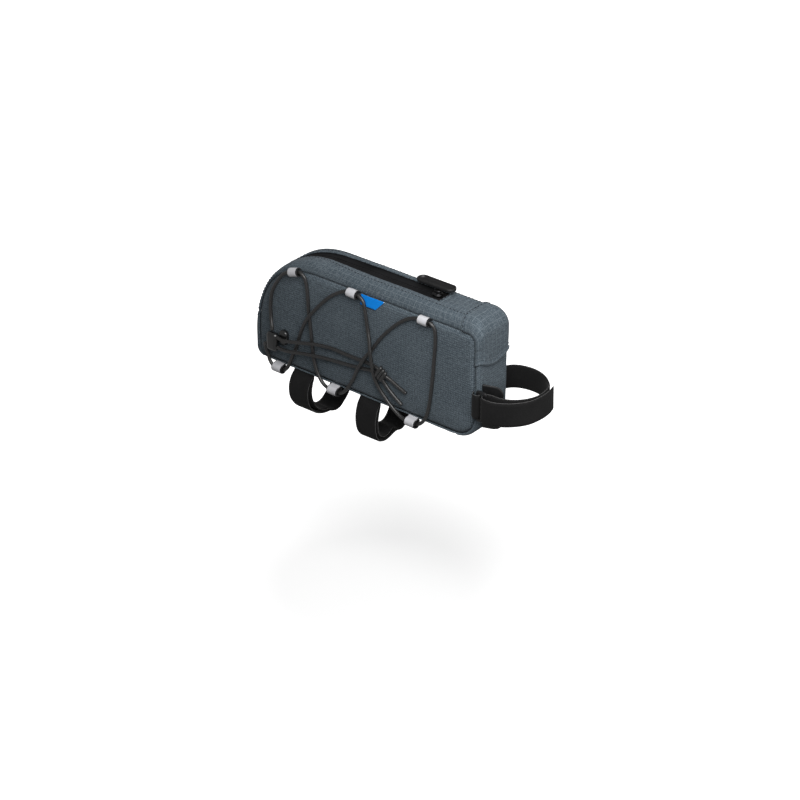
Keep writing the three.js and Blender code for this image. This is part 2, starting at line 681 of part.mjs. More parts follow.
// Short webbing loop: a round eye with a root that reaches the seam
function makeCordLoops() {
  LOOP_TABLE.forEach(({ name, along, top, drop, tilt }) => {
    const rootUp = top ? SEAM.high : SEAM.low;
    const centreZ = rootUp - drop;
    const eye = new THREE.Shape();
    const lean = Math.atan2(rootUp - centreZ, LOOP_RADIUS);
    const spread = THREE.MathUtils.degToRad(38);
    const sides = 14;
    for (let i = 0; i <= sides; i += 1) {
      const angle = lean + spread + ((2 * Math.PI - 2 * spread) * i) / sides;
      const x = LOOP_RADIUS * Math.cos(angle);
      const z = LOOP_RADIUS * Math.sin(angle);
      if (i === 0) eye.moveTo(x, z);
      else eye.lineTo(x, z);
    }
    const rootReach = LOOP_RADIUS - 0.1;
    eye.lineTo(rootReach, rootUp - centreZ - LOOP_WALL);
    eye.lineTo(rootReach, rootUp - centreZ);
    eye.closePath();
    const hole = new THREE.Path();
    hole.absarc(0, 0, LOOP_HOLE_RADIUS, 0, 2 * Math.PI, true);
    eye.holes.push(hole);
    const geometry = extruded(eye, LOOP_LENGTH, 6);
    geometry.translate(0, 0, -LOOP_LENGTH / 2);
    geometry.applyMatrix4(TO_YZ);
    const mesh = addPiece(name, geometry, WEBBING_MATERIAL);
    mesh.rotation.y = -THREE.MathUtils.degToRad(tilt);
    mesh.position.set(mix(REAR_X, FRONT_X, along), -LOOP_STAND_OFF, centreZ);
  });
}

// Round cord along a chosen run
const CORD_SIDES = 8;
function cordGeometry(points, steps) {
  const section = new THREE.Shape();
  for (let i = 0; i < CORD_SIDES; i += 1) {
    const angle = (2 * Math.PI * i) / CORD_SIDES;
    const x = (CORD_DIAMETER / 2) * Math.cos(angle);
    const y = (CORD_DIAMETER / 2) * Math.sin(angle);
    if (i === 0) section.moveTo(x, y);
    else section.lineTo(x, y);
  }
  section.closePath();
  const path = new THREE.CatmullRomCurve3(
    points.map((p) => new THREE.Vector3(...p)), false, 'centripetal',
  );
  return new THREE.ExtrudeGeometry(section, { steps, bevelEnabled: false, extrudePath: path });
}

function makeCords() {
  addPiece('lacing_cord', cordGeometry(LACING_POINTS, 110), CORD_MATERIAL);
  addPiece('cord_tail_upper', cordGeometry(UPPER_TAIL_POINTS, 14), CORD_MATERIAL);
  addPiece('cord_tail_lower', cordGeometry(LOWER_TAIL_POINTS, 14), CORD_MATERIAL);
  addPiece('cord_tip_upper', cordGeometry(UPPER_TIP_POINTS, 4), CORD_MATERIAL);
  addPiece('cord_tip_lower', cordGeometry(LOWER_TIP_POINTS, 4), CORD_MATERIAL);
}

// Overhand knot that joins the two tails: one rounded body
const KNOT_PROFILE = [[0, -0.5], [0.62, -0.46], [0.92, -0.26], [1, 0], [0.92, 0.26], [0.62, 0.46], [0, 0.5]];
function makeKnot() {
  const profile = KNOT_PROFILE.map(([r, h]) => new THREE.Vector2((r * KNOT.width) / 2, h * KNOT.length));
  const geometry = new THREE.LatheGeometry(profile, 10);
  geometry.rotateX(QUARTER);
  geometry.scale(1, KNOT.flatness, 1);
  const mesh = addPiece('cord_knot', mergeVertices(geometry.deleteAttribute('normal').deleteAttribute('uv')), CORD_MATERIAL);
  mesh.rotation.y = THREE.MathUtils.degToRad(KNOT.tilt);
  mesh.position.set(KNOT.x, KNOT.y, KNOT.z);
}

function roundedPlan(width, depth, corner) {
  const x = width / 2;
  const y = depth / 2;
  const shape = new THREE.Shape();
  shape.moveTo(-x + corner, -y);
  shape.lineTo(x - corner, -y);
  shape.absarc(x - corner, -y + corner, corner, -QUARTER, 0, false);
  shape.lineTo(x, y - corner);
  shape.absarc(x - corner, y - corner, corner, 0, QUARTER, false);
  shape.lineTo(-x + corner, y);
  shape.absarc(-x + corner, y - corner, corner, QUARTER, 2 * QUARTER, false);
  shape.lineTo(-x, -y + corner);
  shape.absarc(-x + corner, -y + corner, corner, 2 * QUARTER, 3 * QUARTER, false);
  shape.closePath();
  return shape;
}

function makeCordLock() {
  const { round } = LOCK;
  const half = LOCK.height / 2;
  const body = bodyFromLevels(roundedPlan(LOCK.width, LOCK.depth, LOCK.corner), [
    [-half, round], [-half + 0.3 * round, 0.3 * round], [-half + round, 0],
    [half - round, 0], [half - 0.3 * round, 0.3 * round], [half, round],
  ]);
  addPiece('cord_lock_body', body, GLOSS_MATERIAL).position.set(LOCK.x, LOCK.y, LOCK.z);
  const plan = roundedPlan(PLUNGER.height, PLUNGER.depth, PLUNGER.depth / 2 - 0.05);
  const plunger = bodyFromLevels(plan, [
    [0, 0.6], [0.6, 0], [PLUNGER.length - PLUNGER.round, 0],
    [PLUNGER.length - 0.3 * PLUNGER.round, 0.3 * PLUNGER.round], [PLUNGER.length, PLUNGER.round],
  ]);
  plunger.rotateY(QUARTER);
  addPiece('cord_lock_plunger', plunger, GLOSS_MATERIAL).position.set(PLUNGER.x, PLUNGER.y, PLUNGER.z);
}

function makeTag() {
  const { length, height, bevel, thick, rearX, lean } = TAG;
  const shape = new THREE.Shape();
  shape.moveTo(0, 0);
  shape.lineTo(length, 0);
  shape.lineTo(length - bevel, -height);
  shape.lineTo(1, -height);
  shape.closePath();
  const geometry = extruded(shape, thick);
  geometry.applyMatrix4(TO_XZ);
  const mesh = addPiece('seam_tag', geometry, TAG_MATERIAL);
  mesh.rotation.x = -THREE.MathUtils.degToRad(lean);
  mesh.position.set(rearX, -(HALF_WIDTH + LAP_GAP), SEAM.high);
}

// The slider rides on the closed zip; its puller lies over it and has a raised rim
function makeZipPull() {
  const deck = TOP_Z - FABRIC - LAP_GAP;
  const plan = roundedPlan(SLIDER.length, SLIDER.width, SLIDER.width / 2 - 0.1);
  const slider = bodyFromLevels(plan, [[0, 0], [0.35 * SLIDER.height, 0.2], [0.6 * SLIDER.height, 1.8],
    [0.8 * SLIDER.height, 1.8], [SLIDER.height, 2.6]]);
  addPiece('zip_slider', slider, METAL_MATERIAL).position.set(SLIDER.x, 0, deck + LAP_GAP);
  const { length, width, thick, rim, recess } = PULLER;
  const puller = bodyFromLevels(roundedPlan(length, width, width / 2 - 0.1), [
    [0, 0.5], [0.5, 0], [thick - 0.5, 0], [thick, 0.5], [thick, rim], [thick - recess, rim + 0.3],
  ]);
  const mesh = addPiece('zip_puller', puller, RUBBER_MATERIAL);
  const pullerX = SLIDER.x + PULLER.overhang - length / 2;
  mesh.position.set(pullerX, PULLER.y, deck + LAP_GAP + SLIDER.height + PULLER.clear);
}

addPiece('side_panel_near', makeSidePanel(-1), FABRIC_MATERIAL);
addPiece('side_panel_far', makeSidePanel(1), FABRIC_MATERIAL);
addPiece('top_strip_near', makeTopStrip(-1), FABRIC_MATERIAL);
addPiece('top_strip_far', makeTopStrip(1), FABRIC_MATERIAL);
addPiece('zip_tape_near', makeZipHalf(-1), TAPE_MATERIAL);
addPiece('zip_tape_far', makeZipHalf(1), TAPE_MATERIAL);
addPiece('zip_end_tab', makeZipEndTab(), FABRIC_MATERIAL);
addPiece('front_hood', makeHood(), FABRIC_MATERIAL);
addPiece('front_panel', makeFrontPanel(), FABRIC_MATERIAL);
addPiece('base_panel', makeBasePanel(), FABRIC_MATERIAL);
addPiece('rear_panel', makeRearPanel(), FABRIC_MATERIAL);
makeZipPull();
makeTag();
makeCordLoops();
makeCords();
makeKnot();
makeCordLock();
makeBaseStraps();
makeFrontStrap();
makeRingAnchor();
makeSlotRing();
makeRingFlap();

export default bag;
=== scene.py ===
# %% [markdown]
# A top tube bag for a bicycle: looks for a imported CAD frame
#
# The bag is a narrow padded case. Two side panels are sewn to a gusset that runs all the way
# round, a coated zip closes the domed top, an elastic cord is laced over one side through six
# small loops, and hook-and-loop straps hold the bag to the bicycle's tubes. The CAD frame says
# where every piece is. This script dresses each piece as cloth, webbing, rubber or metal.

import math

import bmesh
import bpy
from mathutils import Matrix, Vector, noise
from mathutils.bvhtree import BVHTree


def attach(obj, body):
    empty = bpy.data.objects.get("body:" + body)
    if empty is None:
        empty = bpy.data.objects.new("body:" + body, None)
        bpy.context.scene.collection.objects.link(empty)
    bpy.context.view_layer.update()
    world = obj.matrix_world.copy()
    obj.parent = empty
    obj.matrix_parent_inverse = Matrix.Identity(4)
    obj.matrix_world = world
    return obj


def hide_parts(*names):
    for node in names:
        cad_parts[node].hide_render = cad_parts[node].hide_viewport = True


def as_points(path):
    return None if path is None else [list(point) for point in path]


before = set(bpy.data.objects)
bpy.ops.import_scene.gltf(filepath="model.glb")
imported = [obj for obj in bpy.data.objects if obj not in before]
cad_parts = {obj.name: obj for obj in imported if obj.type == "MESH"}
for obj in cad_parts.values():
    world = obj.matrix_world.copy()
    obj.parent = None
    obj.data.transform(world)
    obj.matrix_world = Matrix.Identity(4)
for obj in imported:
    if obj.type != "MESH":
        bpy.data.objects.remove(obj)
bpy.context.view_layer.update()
scene = bpy.context.scene
MM = 0.001

# %% [markdown]
# The camera comes first. The photograph looks at the bag from its front corner, a little from
# above and from far away, so the lens is long and the lines hardly converge. The bag sits above
# the middle of the picture, which a small lens shift gives without turning the view.

# %% Camera
VIEW_AZIMUTH = math.radians(39.53)
VIEW_ELEVATION = math.radians(28.43)
VIEW_DISTANCE = 2.5
SENSOR_WIDTH, FOCAL_LENGTH = 36, 119.3
LENS_SHIFT = (0.0278, -0.0725)
TARGET = Vector((0, 0, 0.05))


def make_camera():
    data = bpy.data.cameras.new("photo_camera")
    data.sensor_width = SENSOR_WIDTH
    data.lens = FOCAL_LENGTH
    data.shift_x, data.shift_y = LENS_SHIFT
    data.clip_end = 50
    camera = bpy.data.objects.new("photo_camera", data)
    out = Vector((
        math.sin(VIEW_AZIMUTH) * math.cos(VIEW_ELEVATION),
        -math.cos(VIEW_AZIMUTH) * math.cos(VIEW_ELEVATION),
        math.sin(VIEW_ELEVATION),
    ))
    camera.location = TARGET + out * VIEW_DISTANCE
    camera.rotation_euler = out.to_track_quat("Z", "Y").to_euler()
    scene.collection.objects.link(camera)
    scene.camera = camera
    return camera


photo_camera = make_camera()
print("camera at", [round(v, 3) for v in photo_camera.location])

# %% [markdown]
# Five small helpers serve the whole file. `mesh_object` makes an object from points and faces
# and keeps its place in the mesh, so the object itself stays at the origin. `grid_faces` joins a
# grid of points with four-sided faces, and `fix_normals` turns the faces of a closed shell
# outwards. `apply_modifiers` turns what the modifiers show into a plain mesh.

# %% Mesh helpers
def mesh_object(name, points, faces, uvs=None, smooth=True):
    mesh = bpy.data.meshes.new(name)
    mesh.from_pydata([tuple(p) for p in points], [], faces)
    mesh.update()
    if uvs is not None:
        layer = mesh.uv_layers.new(name="UVMap")
        for loop in mesh.loops:
            layer.data[loop.index].uv = uvs[loop.vertex_index]
    mesh.polygons.foreach_set("use_smooth", [smooth] * len(mesh.polygons))
    piece = bpy.data.objects.new(name, mesh)
    scene.collection.objects.link(piece)
    return piece


def grid_faces(rows, columns, closed=False):
    faces = []
    for i in range(rows - 1):
        for j in range(columns - (0 if closed else 1)):
            k = (j + 1) % columns
            faces.append((i * columns + j, (i + 1) * columns + j, (i + 1) * columns + k, i * columns + k))
    return faces


def fix_normals(piece):
    shell = bmesh.new()
    shell.from_mesh(piece.data)
    bmesh.ops.recalc_face_normals(shell, faces=shell.faces)
    if shell.calc_volume(signed=True) < 0:
        bmesh.ops.reverse_faces(shell, faces=shell.faces)
    shell.to_mesh(piece.data)
    shell.free()


def finish_piece(piece, material, nodes=()):
    piece.data.materials.clear()
    piece.data.materials.append(material)
    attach(piece, "root")
    if nodes:
        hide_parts(*nodes)
    return piece


def apply_modifiers(piece):
    bpy.context.view_layer.update()
    evaluated = piece.evaluated_get(bpy.context.evaluated_depsgraph_get())
    baked = bpy.data.meshes.new_from_object(evaluated)
    old = piece.data
    piece.modifiers.clear()
    piece.data = baked
    bpy.data.meshes.remove(old)
    return piece


print("mesh helpers ready")

# %% [markdown]
# Shader maths reads best as plain arithmetic. The small class below wraps a node's output, so
# that `1 - weave * 0.3` adds the Math nodes it needs. Any other node comes from `node`, which
# sets the node's options first and then its inputs. Colours are mixed with a Mix node, because
# a Math node would turn them grey.

# %% Shader arithmetic
class Wire:
    """An output socket that can be used in Python arithmetic."""

    def __init__(self, shader, socket):
        self.shader = shader
        self.socket = socket

    def _math(self, operation, *values):
        return self.shader.node("ShaderNodeMath", {"operation": operation}, dict(enumerate(values)))

    def __add__(self, other):
        return self._math("ADD", self, other)

    __radd__ = __add__

    def __mul__(self, other):
        return self._math("MULTIPLY", self, other)

    __rmul__ = __mul__

    def __sub__(self, other):
        return self._math("SUBTRACT", self, other)

    def __rsub__(self, other):
        return self._math("SUBTRACT", other, self)

    def __pow__(self, other):
        return self._math("POWER", self, other)

    def sine(self):
        return self._math("SINE", self)

    def size(self):
        return self._math("ABSOLUTE", self)

    def over(self, edge):
        return self._math("GREATER_THAN", self, edge)

    def modulo(self, period):
        return self._math("FLOORED_MODULO", self, period)

    def limit(self):
        return self.shader.node("ShaderNodeClamp", {}, {"Value": self})


class Finish:
    """A material being built."""

    def __init__(self, name):
        self.material = bpy.data.materials.new(name)
        self.material.use_nodes = True
        self.tree = self.material.node_tree
        self.surface = self.tree.nodes["Principled BSDF"]

    def node(self, kind, options=None, inputs=None, output=0):
        """Any node: its options first, then the values or links of its sockets."""
        made = self.tree.nodes.new(kind)
        for option, value in (options or {}).items():
            if option == "stops":
                self.set_stops(made.color_ramp, value)
            else:
                setattr(made, option, value)
        for key, value in (inputs or {}).items():
            self.join(value, made.inputs[key])
        return Wire(self, made.outputs[output])

    def join(self, value, socket):
        if isinstance(value, Wire):
            self.tree.links.new(value.socket, socket)
        else:
            socket.default_value = value

    @staticmethod
    def set_stops(ramp, stops):
        while len(ramp.elements) < len(stops):
            ramp.elements.new(1.0)
        for element, (at, color) in zip(ramp.elements, stops):
            element.position = at
            element.color = (*color, 1)

    def ramp(self, factor, stops):
        return self.node("ShaderNodeValToRGB", {"stops": stops}, {0: factor})

    def mix(self, factor, a, b):
        first, second = (c if isinstance(c, Wire) else (*c, 1) for c in (a, b))
        return self.node("ShaderNodeMix", {"data_type": "RGBA"}, {0: factor, 6: first, 7: second}, 2)

    def noise(self, place, scale, detail=3.0, roughness=0.55):
        inputs = {"Vector": place, "Scale": scale, "Detail": detail, "Roughness": roughness}
        return self.node("ShaderNodeTexNoise", {}, inputs)

    def place(self, output="Object"):
        return self.node("ShaderNodeTexCoord", output=output)

    def scaled(self, place, scale):
        return self.node("ShaderNodeMapping", {}, {"Vector": place, "Scale": scale})

    def parts(self, place):
        x = self.node("ShaderNodeSeparateXYZ", {}, {0: place})
        return [Wire(self, output) for output in x.socket.node.outputs]

    def set(self, **values):
        for key, value in values.items():
            name = key.replace("_", " ").title().replace("Ior", "IOR")
            if isinstance(value, tuple) and len(value) == 3:
                value = (*value, 1)
            self.join(value, self.surface.inputs[name])
        return self

    def bump(self, height, strength, distance, below=None):
        inputs = {"Height": height, "Strength": strength, "Distance": distance}
        if below is not None:
            inputs["Normal"] = below
        wire = self.node("ShaderNodeBump", {}, inputs)
        self.join(wire, self.surface.inputs["Normal"])
        return wire


print("shader helpers ready")

# %% [markdown]
# Cloth. The real panels are a heathered polyester: slate blue with paler and darker yarns mixed
# in, woven with a fine grid of thicker threads that stops tears. The UV map of each panel is in
# metres, so one recipe gives the same weave everywhere. Yarns are two sine waves at right
# angles, the grid is a thin line every few millimetres, and the heather is noise that is
# stretched along each yarn. Short paler dashes in rows are the floats of the thicker side cloth.

# %% Cloth finish
FULL_TURN = 2 * math.pi
FLOAT_ROW, FLOAT_DASH = 0.0023, 0.0019
GRID_EDGE = 0.91


def make_cloth(name, dark, mid, pale, yarn=0.00052, grid=0.0058, grid_show=0.22, dash_show=0.0, bump=0.5):
    cloth = Finish(name)
    uv = cloth.place("UV")
    across, along, _ = cloth.parts(uv)
    turn = FULL_TURN / yarn
    warp = (across * turn).sine() * 0.5 + 0.5
    weft = (along * turn).sine() * 0.5 + 0.5
    weave = warp * weft + (1 - warp) * (1 - weft)
    heather_a = cloth.noise(cloth.scaled(uv, (1 / yarn, 0.16 / yarn, 1)), 1.0, 2.0, 0.6)
    heather_b = cloth.noise(cloth.scaled(uv, (0.16 / yarn, 1 / yarn, 1)), 1.0, 2.0, 0.6)
    heather = heather_a * 0.5 + heather_b * 0.5
    slub_a = cloth.noise(cloth.scaled(uv, (820, 210, 1)), 1.0, 2.0, 0.7)
    slub_b = cloth.noise(cloth.scaled(uv, (210, 820, 1)), 1.0, 2.0, 0.7)
    slub = slub_a + slub_b - 1
    speck = cloth.noise(cloth.scaled(uv, (880, 700, 1)), 1.0, 2.0, 0.8) - 0.5
    cloud = cloth.noise(cloth.place(), 26.0, 3.0, 0.5)
    row = (along * (FULL_TURN / FLOAT_ROW)).sine().over(0.35)
    dash = (across * (FULL_TURN / FLOAT_DASH) + slub * 4).sine().over(0.2) * row
    yarns = (heather - 0.5) * 1.5 + 0.5 + slub * 0.45 + speck * 1.1
    tone = yarns + (weave - 0.5) * 0.16 + (cloud - 0.5) * 0.3 + dash * dash_show
    color = cloth.ramp(tone.limit(), [(0.12, dark), (0.5, mid), (0.9, pale)])
    line_a = ((across.modulo(grid) - grid / 2).size() * (2 / grid)).over(GRID_EDGE)
    line_b = ((along.modulo(grid) - grid / 2).size() * (2 / grid)).over(GRID_EDGE)
    lines = (line_a + line_b).limit()
    color = cloth.mix(lines * grid_show, color, pale)
    cloth.set(base_color=color, roughness=0.86 - heather * 0.12, sheen_weight=0.06, sheen_roughness=0.5)
    cloth.set(specular_ior_level=0.28)
    height = weave * 0.5 + heather * 0.7 + lines * 0.5
    fine = cloth.bump(height, bump, 0.00022)
    puckers = cloth.noise(cloth.place(), 60.0, 2.0, 0.5)
    cloth.bump(puckers, 0.18, 0.0012, fine)
    return cloth.material


SLATE_DARK_MID_PALE = (0.030, 0.043, 0.054), (0.072, 0.095, 0.114), (0.175, 0.212, 0.240)
side_cloth = make_cloth("heather_cloth_side", *SLATE_DARK_MID_PALE, grid_show=0.08, dash_show=0.36)
top_cloth = make_cloth("heather_cloth_top", *SLATE_DARK_MID_PALE, grid_show=0.52, dash_show=0.12)
print("cloth finishes", side_cloth.name, top_cloth.name)

# %% [markdown]
# The bag's shape follows a rule, so it is built from one. Its outline seen from the side has
# eight segments, once for the outer face of the gusset and once for the side seams, which lie
# lower. Between a seam and the crown the gusset's section is a rounded corner whose squareness
# changes along the way.

# %% Outline of the bag
REAR_X, FRONT_X, TOP_Z, HALF_WIDTH = -0.136, 0.137, 0.1245, 0.022
OUTER = dict(
    rear=REAR_X, front=FRONT_X, low=0.0, high=TOP_Z, front_top=0.016, front_low=0.026, rear_low=0.010,
    curve_length=0.345 * (FRONT_X - REAR_X), curve_height=0.835 * TOP_Z, power=2.2,
)
SEAM = dict(
    rear=REAR_X + 0.0055, front=FRONT_X - 0.005, low=0.0025, high=TOP_Z - 0.0145,
    front_top=0.008, front_low=0.022, rear_low=0.008,
    curve_length=0.285 * (FRONT_X - REAR_X), curve_height=0.642 * TOP_Z, power=2.4,
)
SECTION = dict(top=(0.46, 2.1), rear=(0.70, 2.8), base=(0.80, 3.0), front=(0.70, 2.8))
SEGMENTS = ("top", "rear_curve", "rear_low", "rear_corner", "base", "front_corner", "front", "front_top")
SECTION_ENDS = dict(zip(SEGMENTS, (
    ("top", "top"), ("top", "rear"), ("rear", "rear"), ("rear", "base"),
    ("base", "base"), ("base", "front"), ("front", "front"), ("front", "top"),
)))


def lerp(a, b, t):
    return a + (b - a) * t


def outline_point(o, segment, t):
    arc = math.pi / 2 * t
    s, c = math.sin(arc), max(0.0, math.cos(arc))
    if segment == "top":
        return lerp(o["front"] - o["front_top"], o["rear"] + o["curve_length"], t), o["high"]
    if segment == "rear_curve":
        k = 2 / o["power"]
        return o["rear"] + o["curve_length"] * (1 - s ** k), o["high"] - o["curve_height"] * (1 - c ** k)
    if segment == "rear_low":
        return o["rear"], lerp(o["high"] - o["curve_height"], o["low"] + o["rear_low"], t)
    if segment == "rear_corner":
        return o["rear"] + o["rear_low"] * (1 - c), o["low"] + o["rear_low"] * (1 - s)
    if segment == "base":
        return lerp(o["rear"] + o["rear_low"], o["front"] - o["front_low"], t), o["low"]
    if segment == "front_corner":
        return o["front"] - o["front_low"] * (1 - s), o["low"] + o["front_low"] * (1 - c)
    if segment == "front":
        return o["front"], lerp(o["low"] + o["front_low"], o["high"] - o["front_top"], t)
    return o["front"] - o["front_top"] * (1 - c), o["high"] - o["front_top"] * (1 - s)


def gusset_point(segment, t, v):
    start, end = SECTION_ENDS[segment]
    flat = HALF_WIDTH * lerp(SECTION[start][0], SECTION[end][0], t)
    power = lerp(SECTION[start][1], SECTION[end][1], t)
    size = abs(v)
    across, out = flat * size / 0.5, 1.0
    if size > 0.5:
        angle = math.pi / 2 * (1 - (size - 0.5) / 0.5)
        across = flat + (HALF_WIDTH - flat) * max(0.0, math.cos(angle)) ** (2 / power)
        out = max(0.0, math.sin(angle)) ** (2 / power)
    ox, oz = outline_point(OUTER, segment, t)
    sx, sz = outline_point(SEAM, segment, t)
    return Vector((lerp(sx, ox, out), math.copysign(across, v) if v else 0.0, lerp(sz, oz, out)))


def gusset_normal(segment, t, v, step=1e-3):
    t0, t1, v0, v1 = max(0, t - step), min(1, t + step), max(-1, v - step), min(1, v + step)
    along = gusset_point(segment, t1, v) - gusset_point(segment, t0, v)
    across = gusset_point(segment, t, v1) - gusset_point(segment, t, v0)
    return across.cross(along).normalized()


print("crown of the bag", [round(c, 4) for c in gusset_point("top", 0.5, 0)])

# %% [markdown]
# Sewn cloth is never as even as its pattern. Each panel sinks where it is stitched, puckers a
# little beside the seam, and dents slowly over its free area. All are moves of the mesh along
# its normal: `seam_sink` for the rolled edge, `pucker` for the small folds that die out a few
# millimetres from the stitches, `hem_rise` for a turned hem, and `slow_dent` for the rest.

# %% Softness of sewn cloth
def seam_sink(distance, width, depth):
    if distance >= width:
        return 0.0
    k = 1 - distance / width
    return -depth * (1 - math.sqrt(max(0.0, 1 - k * k)))


def pucker(distance, place, seed, height=0.00028, reach=0.006):
    here = Vector((place[0], 0, place[-1]))
    wave = noise.noise(here * 130 + Vector((0, seed * 7.3, 0)))
    wave += 0.5 * noise.noise(here * 290 + Vector((0, seed, 5)))
    return height * wave * math.exp(-distance / reach)


def hem_rise(distance, fold, rise):
    """A turned hem: rounded at its edge, proud over the fold, and drawn in along its stitches."""
    edge = -0.0007 * (1 - min(1.0, distance / 0.0008)) ** 2
    proud = rise * (1 - smooth_step((distance - fold * 0.55) / (fold * 0.5)))
    groove = -0.00032 * math.exp(-((distance - fold) / 0.0007) ** 2)
    return edge + proud + groove


def slow_dent(point, height=0.0004, frequency=22):
    return height * noise.noise(Vector(point) * frequency)


def smooth_step(k):
    k = min(1.0, max(0.0, k))
    return k * k * (3 - 2 * k)


def cloth_wall(name, outer, inner, uv_rows):
    """A closed sheet from an outer and an inner grid, with its edge faces."""
    rows, columns = len(outer), len(outer[0])
    points = [p for row in outer for p in row] + [p for row in inner for p in row]
    uvs = [uv for row in uv_rows for uv in row] * 2
    half = rows * columns
    faces = [tuple(reversed(f)) for f in grid_faces(rows, columns)]
    faces += [tuple(k + half for k in f) for f in grid_faces(rows, columns)]
    rim = [i * columns for i in range(rows)] + [(rows - 1) * columns + j for j in range(1, columns)]
    rim += [i * columns + columns - 1 for i in range(rows - 2, -1, -1)] + list(range(columns - 2, 0, -1))
    for a, b in zip(rim, rim[1:] + rim[:1]):
        faces.append((a, b, b + half, a + half))
    piece = mesh_object(name, points, faces, uvs)
    fix_normals(piece)
    return piece


AT_SEAM = 0.95


def gusset_cloth(name, rows, columns, lift=0.0, wall=0.0014, edges=(0.0032, 0.0016), ends=(0.0005, 0.0005),
                 inner_edge=(0.0012, 0.0004), seed=1, hems=(None, None), dent=None):
    """A panel of the gusset. rows are (segment, t) places, and t may be a list with one t for each
    place across. columns(segment, t) gives the places across, edges and ends how far the cloth
    sinks at its seams and cut ends, and hems the turned hem at either end."""
    outer, inner, uv_rows, lengths = [], [], [], []
    run = 0.0
    for i, (segment, t) in enumerate(rows):
        across = columns(segment, t if not isinstance(t, list) else 0.5)
        ts = t if isinstance(t, list) else [t] * len(across)
        base = [gusset_point(segment, tt, v) for tt, v in zip(ts, across)]
        middle = base[len(base) // 2]
        if i:
            run += (middle - lengths[-1][1]).length
        lengths.append((run, middle, segment, ts, across, base))
    for run_here, _, segment, ts, across, base in lengths:
        row_out, row_in, row_uv = [], [], []
        offsets = [0.0]
        for a, b in zip(base, base[1:]):
            offsets.append(offsets[-1] + (b - a).length)
        width = offsets[-1]
        from_end = (run_here, run - run_here)
        for tt, v, p, s in zip(ts, across, base, offsets):
            n = gusset_normal(segment, tt, v)
            low, high = s, width - s
            near_low = edges if abs(across[0]) > AT_SEAM else inner_edge
            near_high = edges if abs(across[-1]) > AT_SEAM else inner_edge
            move = lift + seam_sink(low, *near_low) + seam_sink(high, *near_high)
            for distance, depth, hem in zip(from_end, ends, hems):
                move += seam_sink(distance, 0.0016, depth) if hem is None else hem_rise(distance, *hem)
            move += pucker(min(low, high), p, seed) + slow_dent(p, 0.0003, 30)
            if dent:
                move += dent(low, from_end[1])
            row_out.append(p + n * move)
            row_in.append(p + n * (lift - wall))
            row_uv.append((s + seed * 0.0013, run_here))
        outer.append(row_out)
        inner.append(row_in)
        uv_rows.append(row_uv)
    return cloth_wall(name, outer, inner, uv_rows)


def stretch(segment, start, end, steps, first=True):
    return [(segment, lerp(start, end, i / steps)) for i in range(0 if first else 1, steps + 1)]


def spread(low, high, count, crowd=1.0):
    """Places from low to high, closer together at both ends."""
    places = []
    for i in range(count + 1):
        k = i / count
        eased = 0.5 - 0.5 * math.cos(math.pi * k)
        places.append(lerp(low, high, lerp(k, eased, crowd)))
    return places


print("cloth helpers ready")

# %% [markdown]
# The gusset is cut in seven panels, as on the real bag: two long strips beside the zip, a tab
# in front of the zip, a hood over the front corner, and the front, base and rear panels.

# %% Gusset panels
ZIP_HALF = 0.009
ZIP_FRONT_X = FRONT_X - 0.057
HOOD_REAR_X = FRONT_X - 0.023
TAB_FRONT_X = HOOD_REAR_X + 0.004
ZIP_TAPER = [(0.0, 1.0), (0.75, 1.0), (1.0, 0.85), (1.34, 0.58), (1.46, 0.02), (2.0, 0.02)]
ZIP_REAR_AT = 0.46
STRIP_END_AT = 0.863
TAB_HEM, HOOD_REAR_HEM, HOOD_LOW_HEM = (0.0032, 0.0007), (0.0036, 0.0002), (0.0052, 0.0008)


def top_t(x):
    start, end = OUTER["front"] - OUTER["front_top"], OUTER["rear"] + OUTER["curve_length"]
    return (start - x) / (start - end)


def front_t(z):
    start, end = OUTER["low"] + OUTER["front_low"], OUTER["high"] - OUTER["front_top"]
    return (z - start) / (end - start)


def zip_half_v(segment, t, extra=0.0):
    """Where the zip's edge lies across the gusset."""
    along = t if segment == "top" else 1 + t
    share = ZIP_TAPER[-1][1]
    for (a, low), (b, high) in zip(ZIP_TAPER, ZIP_TAPER[1:]):
        if along <= b + 1e-9:
            share = lerp(low, high, (along - a) / (b - a))
            break
    start, end = SECTION_ENDS[segment]
    flat = HALF_WIDTH * lerp(SECTION[start][0], SECTION[end][0], t)
    return min((share * ZIP_HALF + extra) * 0.5 / flat, 0.6)


def top_strip(side):
    rows = stretch("top", top_t(TAB_FRONT_X), 1, 80) + stretch("rear_curve", 0, STRIP_END_AT, 60, False)

    def columns(segment, t):
        inner = zip_half_v(segment, t, 0.00005)
        return [side * v for v in spread(inner, 1.0, 26, 0.75)]

    name = "strip_near_cloth" if side < 0 else "strip_far_cloth"
    node = "top_strip_near" if side < 0 else "top_strip_far"
    piece = gusset_cloth(name, rows, columns, inner_edge=(0.0016, 0.0007), seed=2 + side)
    return finish_piece(piece, top_cloth, [node])


def full_width(count=44):
    places = spread(-1.0, 1.0, count, 0.6)
    return lambda segment, t: places


def zip_tab():
    rows = stretch("top", top_t(TAB_FRONT_X), top_t(ZIP_FRONT_X), 22)
    edge = 0.5 * (ZIP_HALF - 0.00015) / (HALF_WIDTH * SECTION["top"][0])
    piece = gusset_cloth("zip_end_tab_cloth", rows, lambda s, t: spread(-edge, edge, 14), wall=0.0012,
                         inner_edge=(0.0016, 0.0007), ends=(0.0, 0.0009), seed=9, hems=(None, TAB_HEM))
    return finish_piece(piece, top_cloth, ["zip_end_tab"])


HOOD_EDGE_Z, HOOD_EDGE_RISE = 0.0755, 0.008


def hood_edge_t(v, extra=0.0):
    """The hood's low edge is higher at its two sides than in its middle."""
    side = gusset_point("front", 0.5, v).y / HALF_WIDTH
    return front_t(HOOD_EDGE_Z + extra + HOOD_EDGE_RISE * side ** 2)


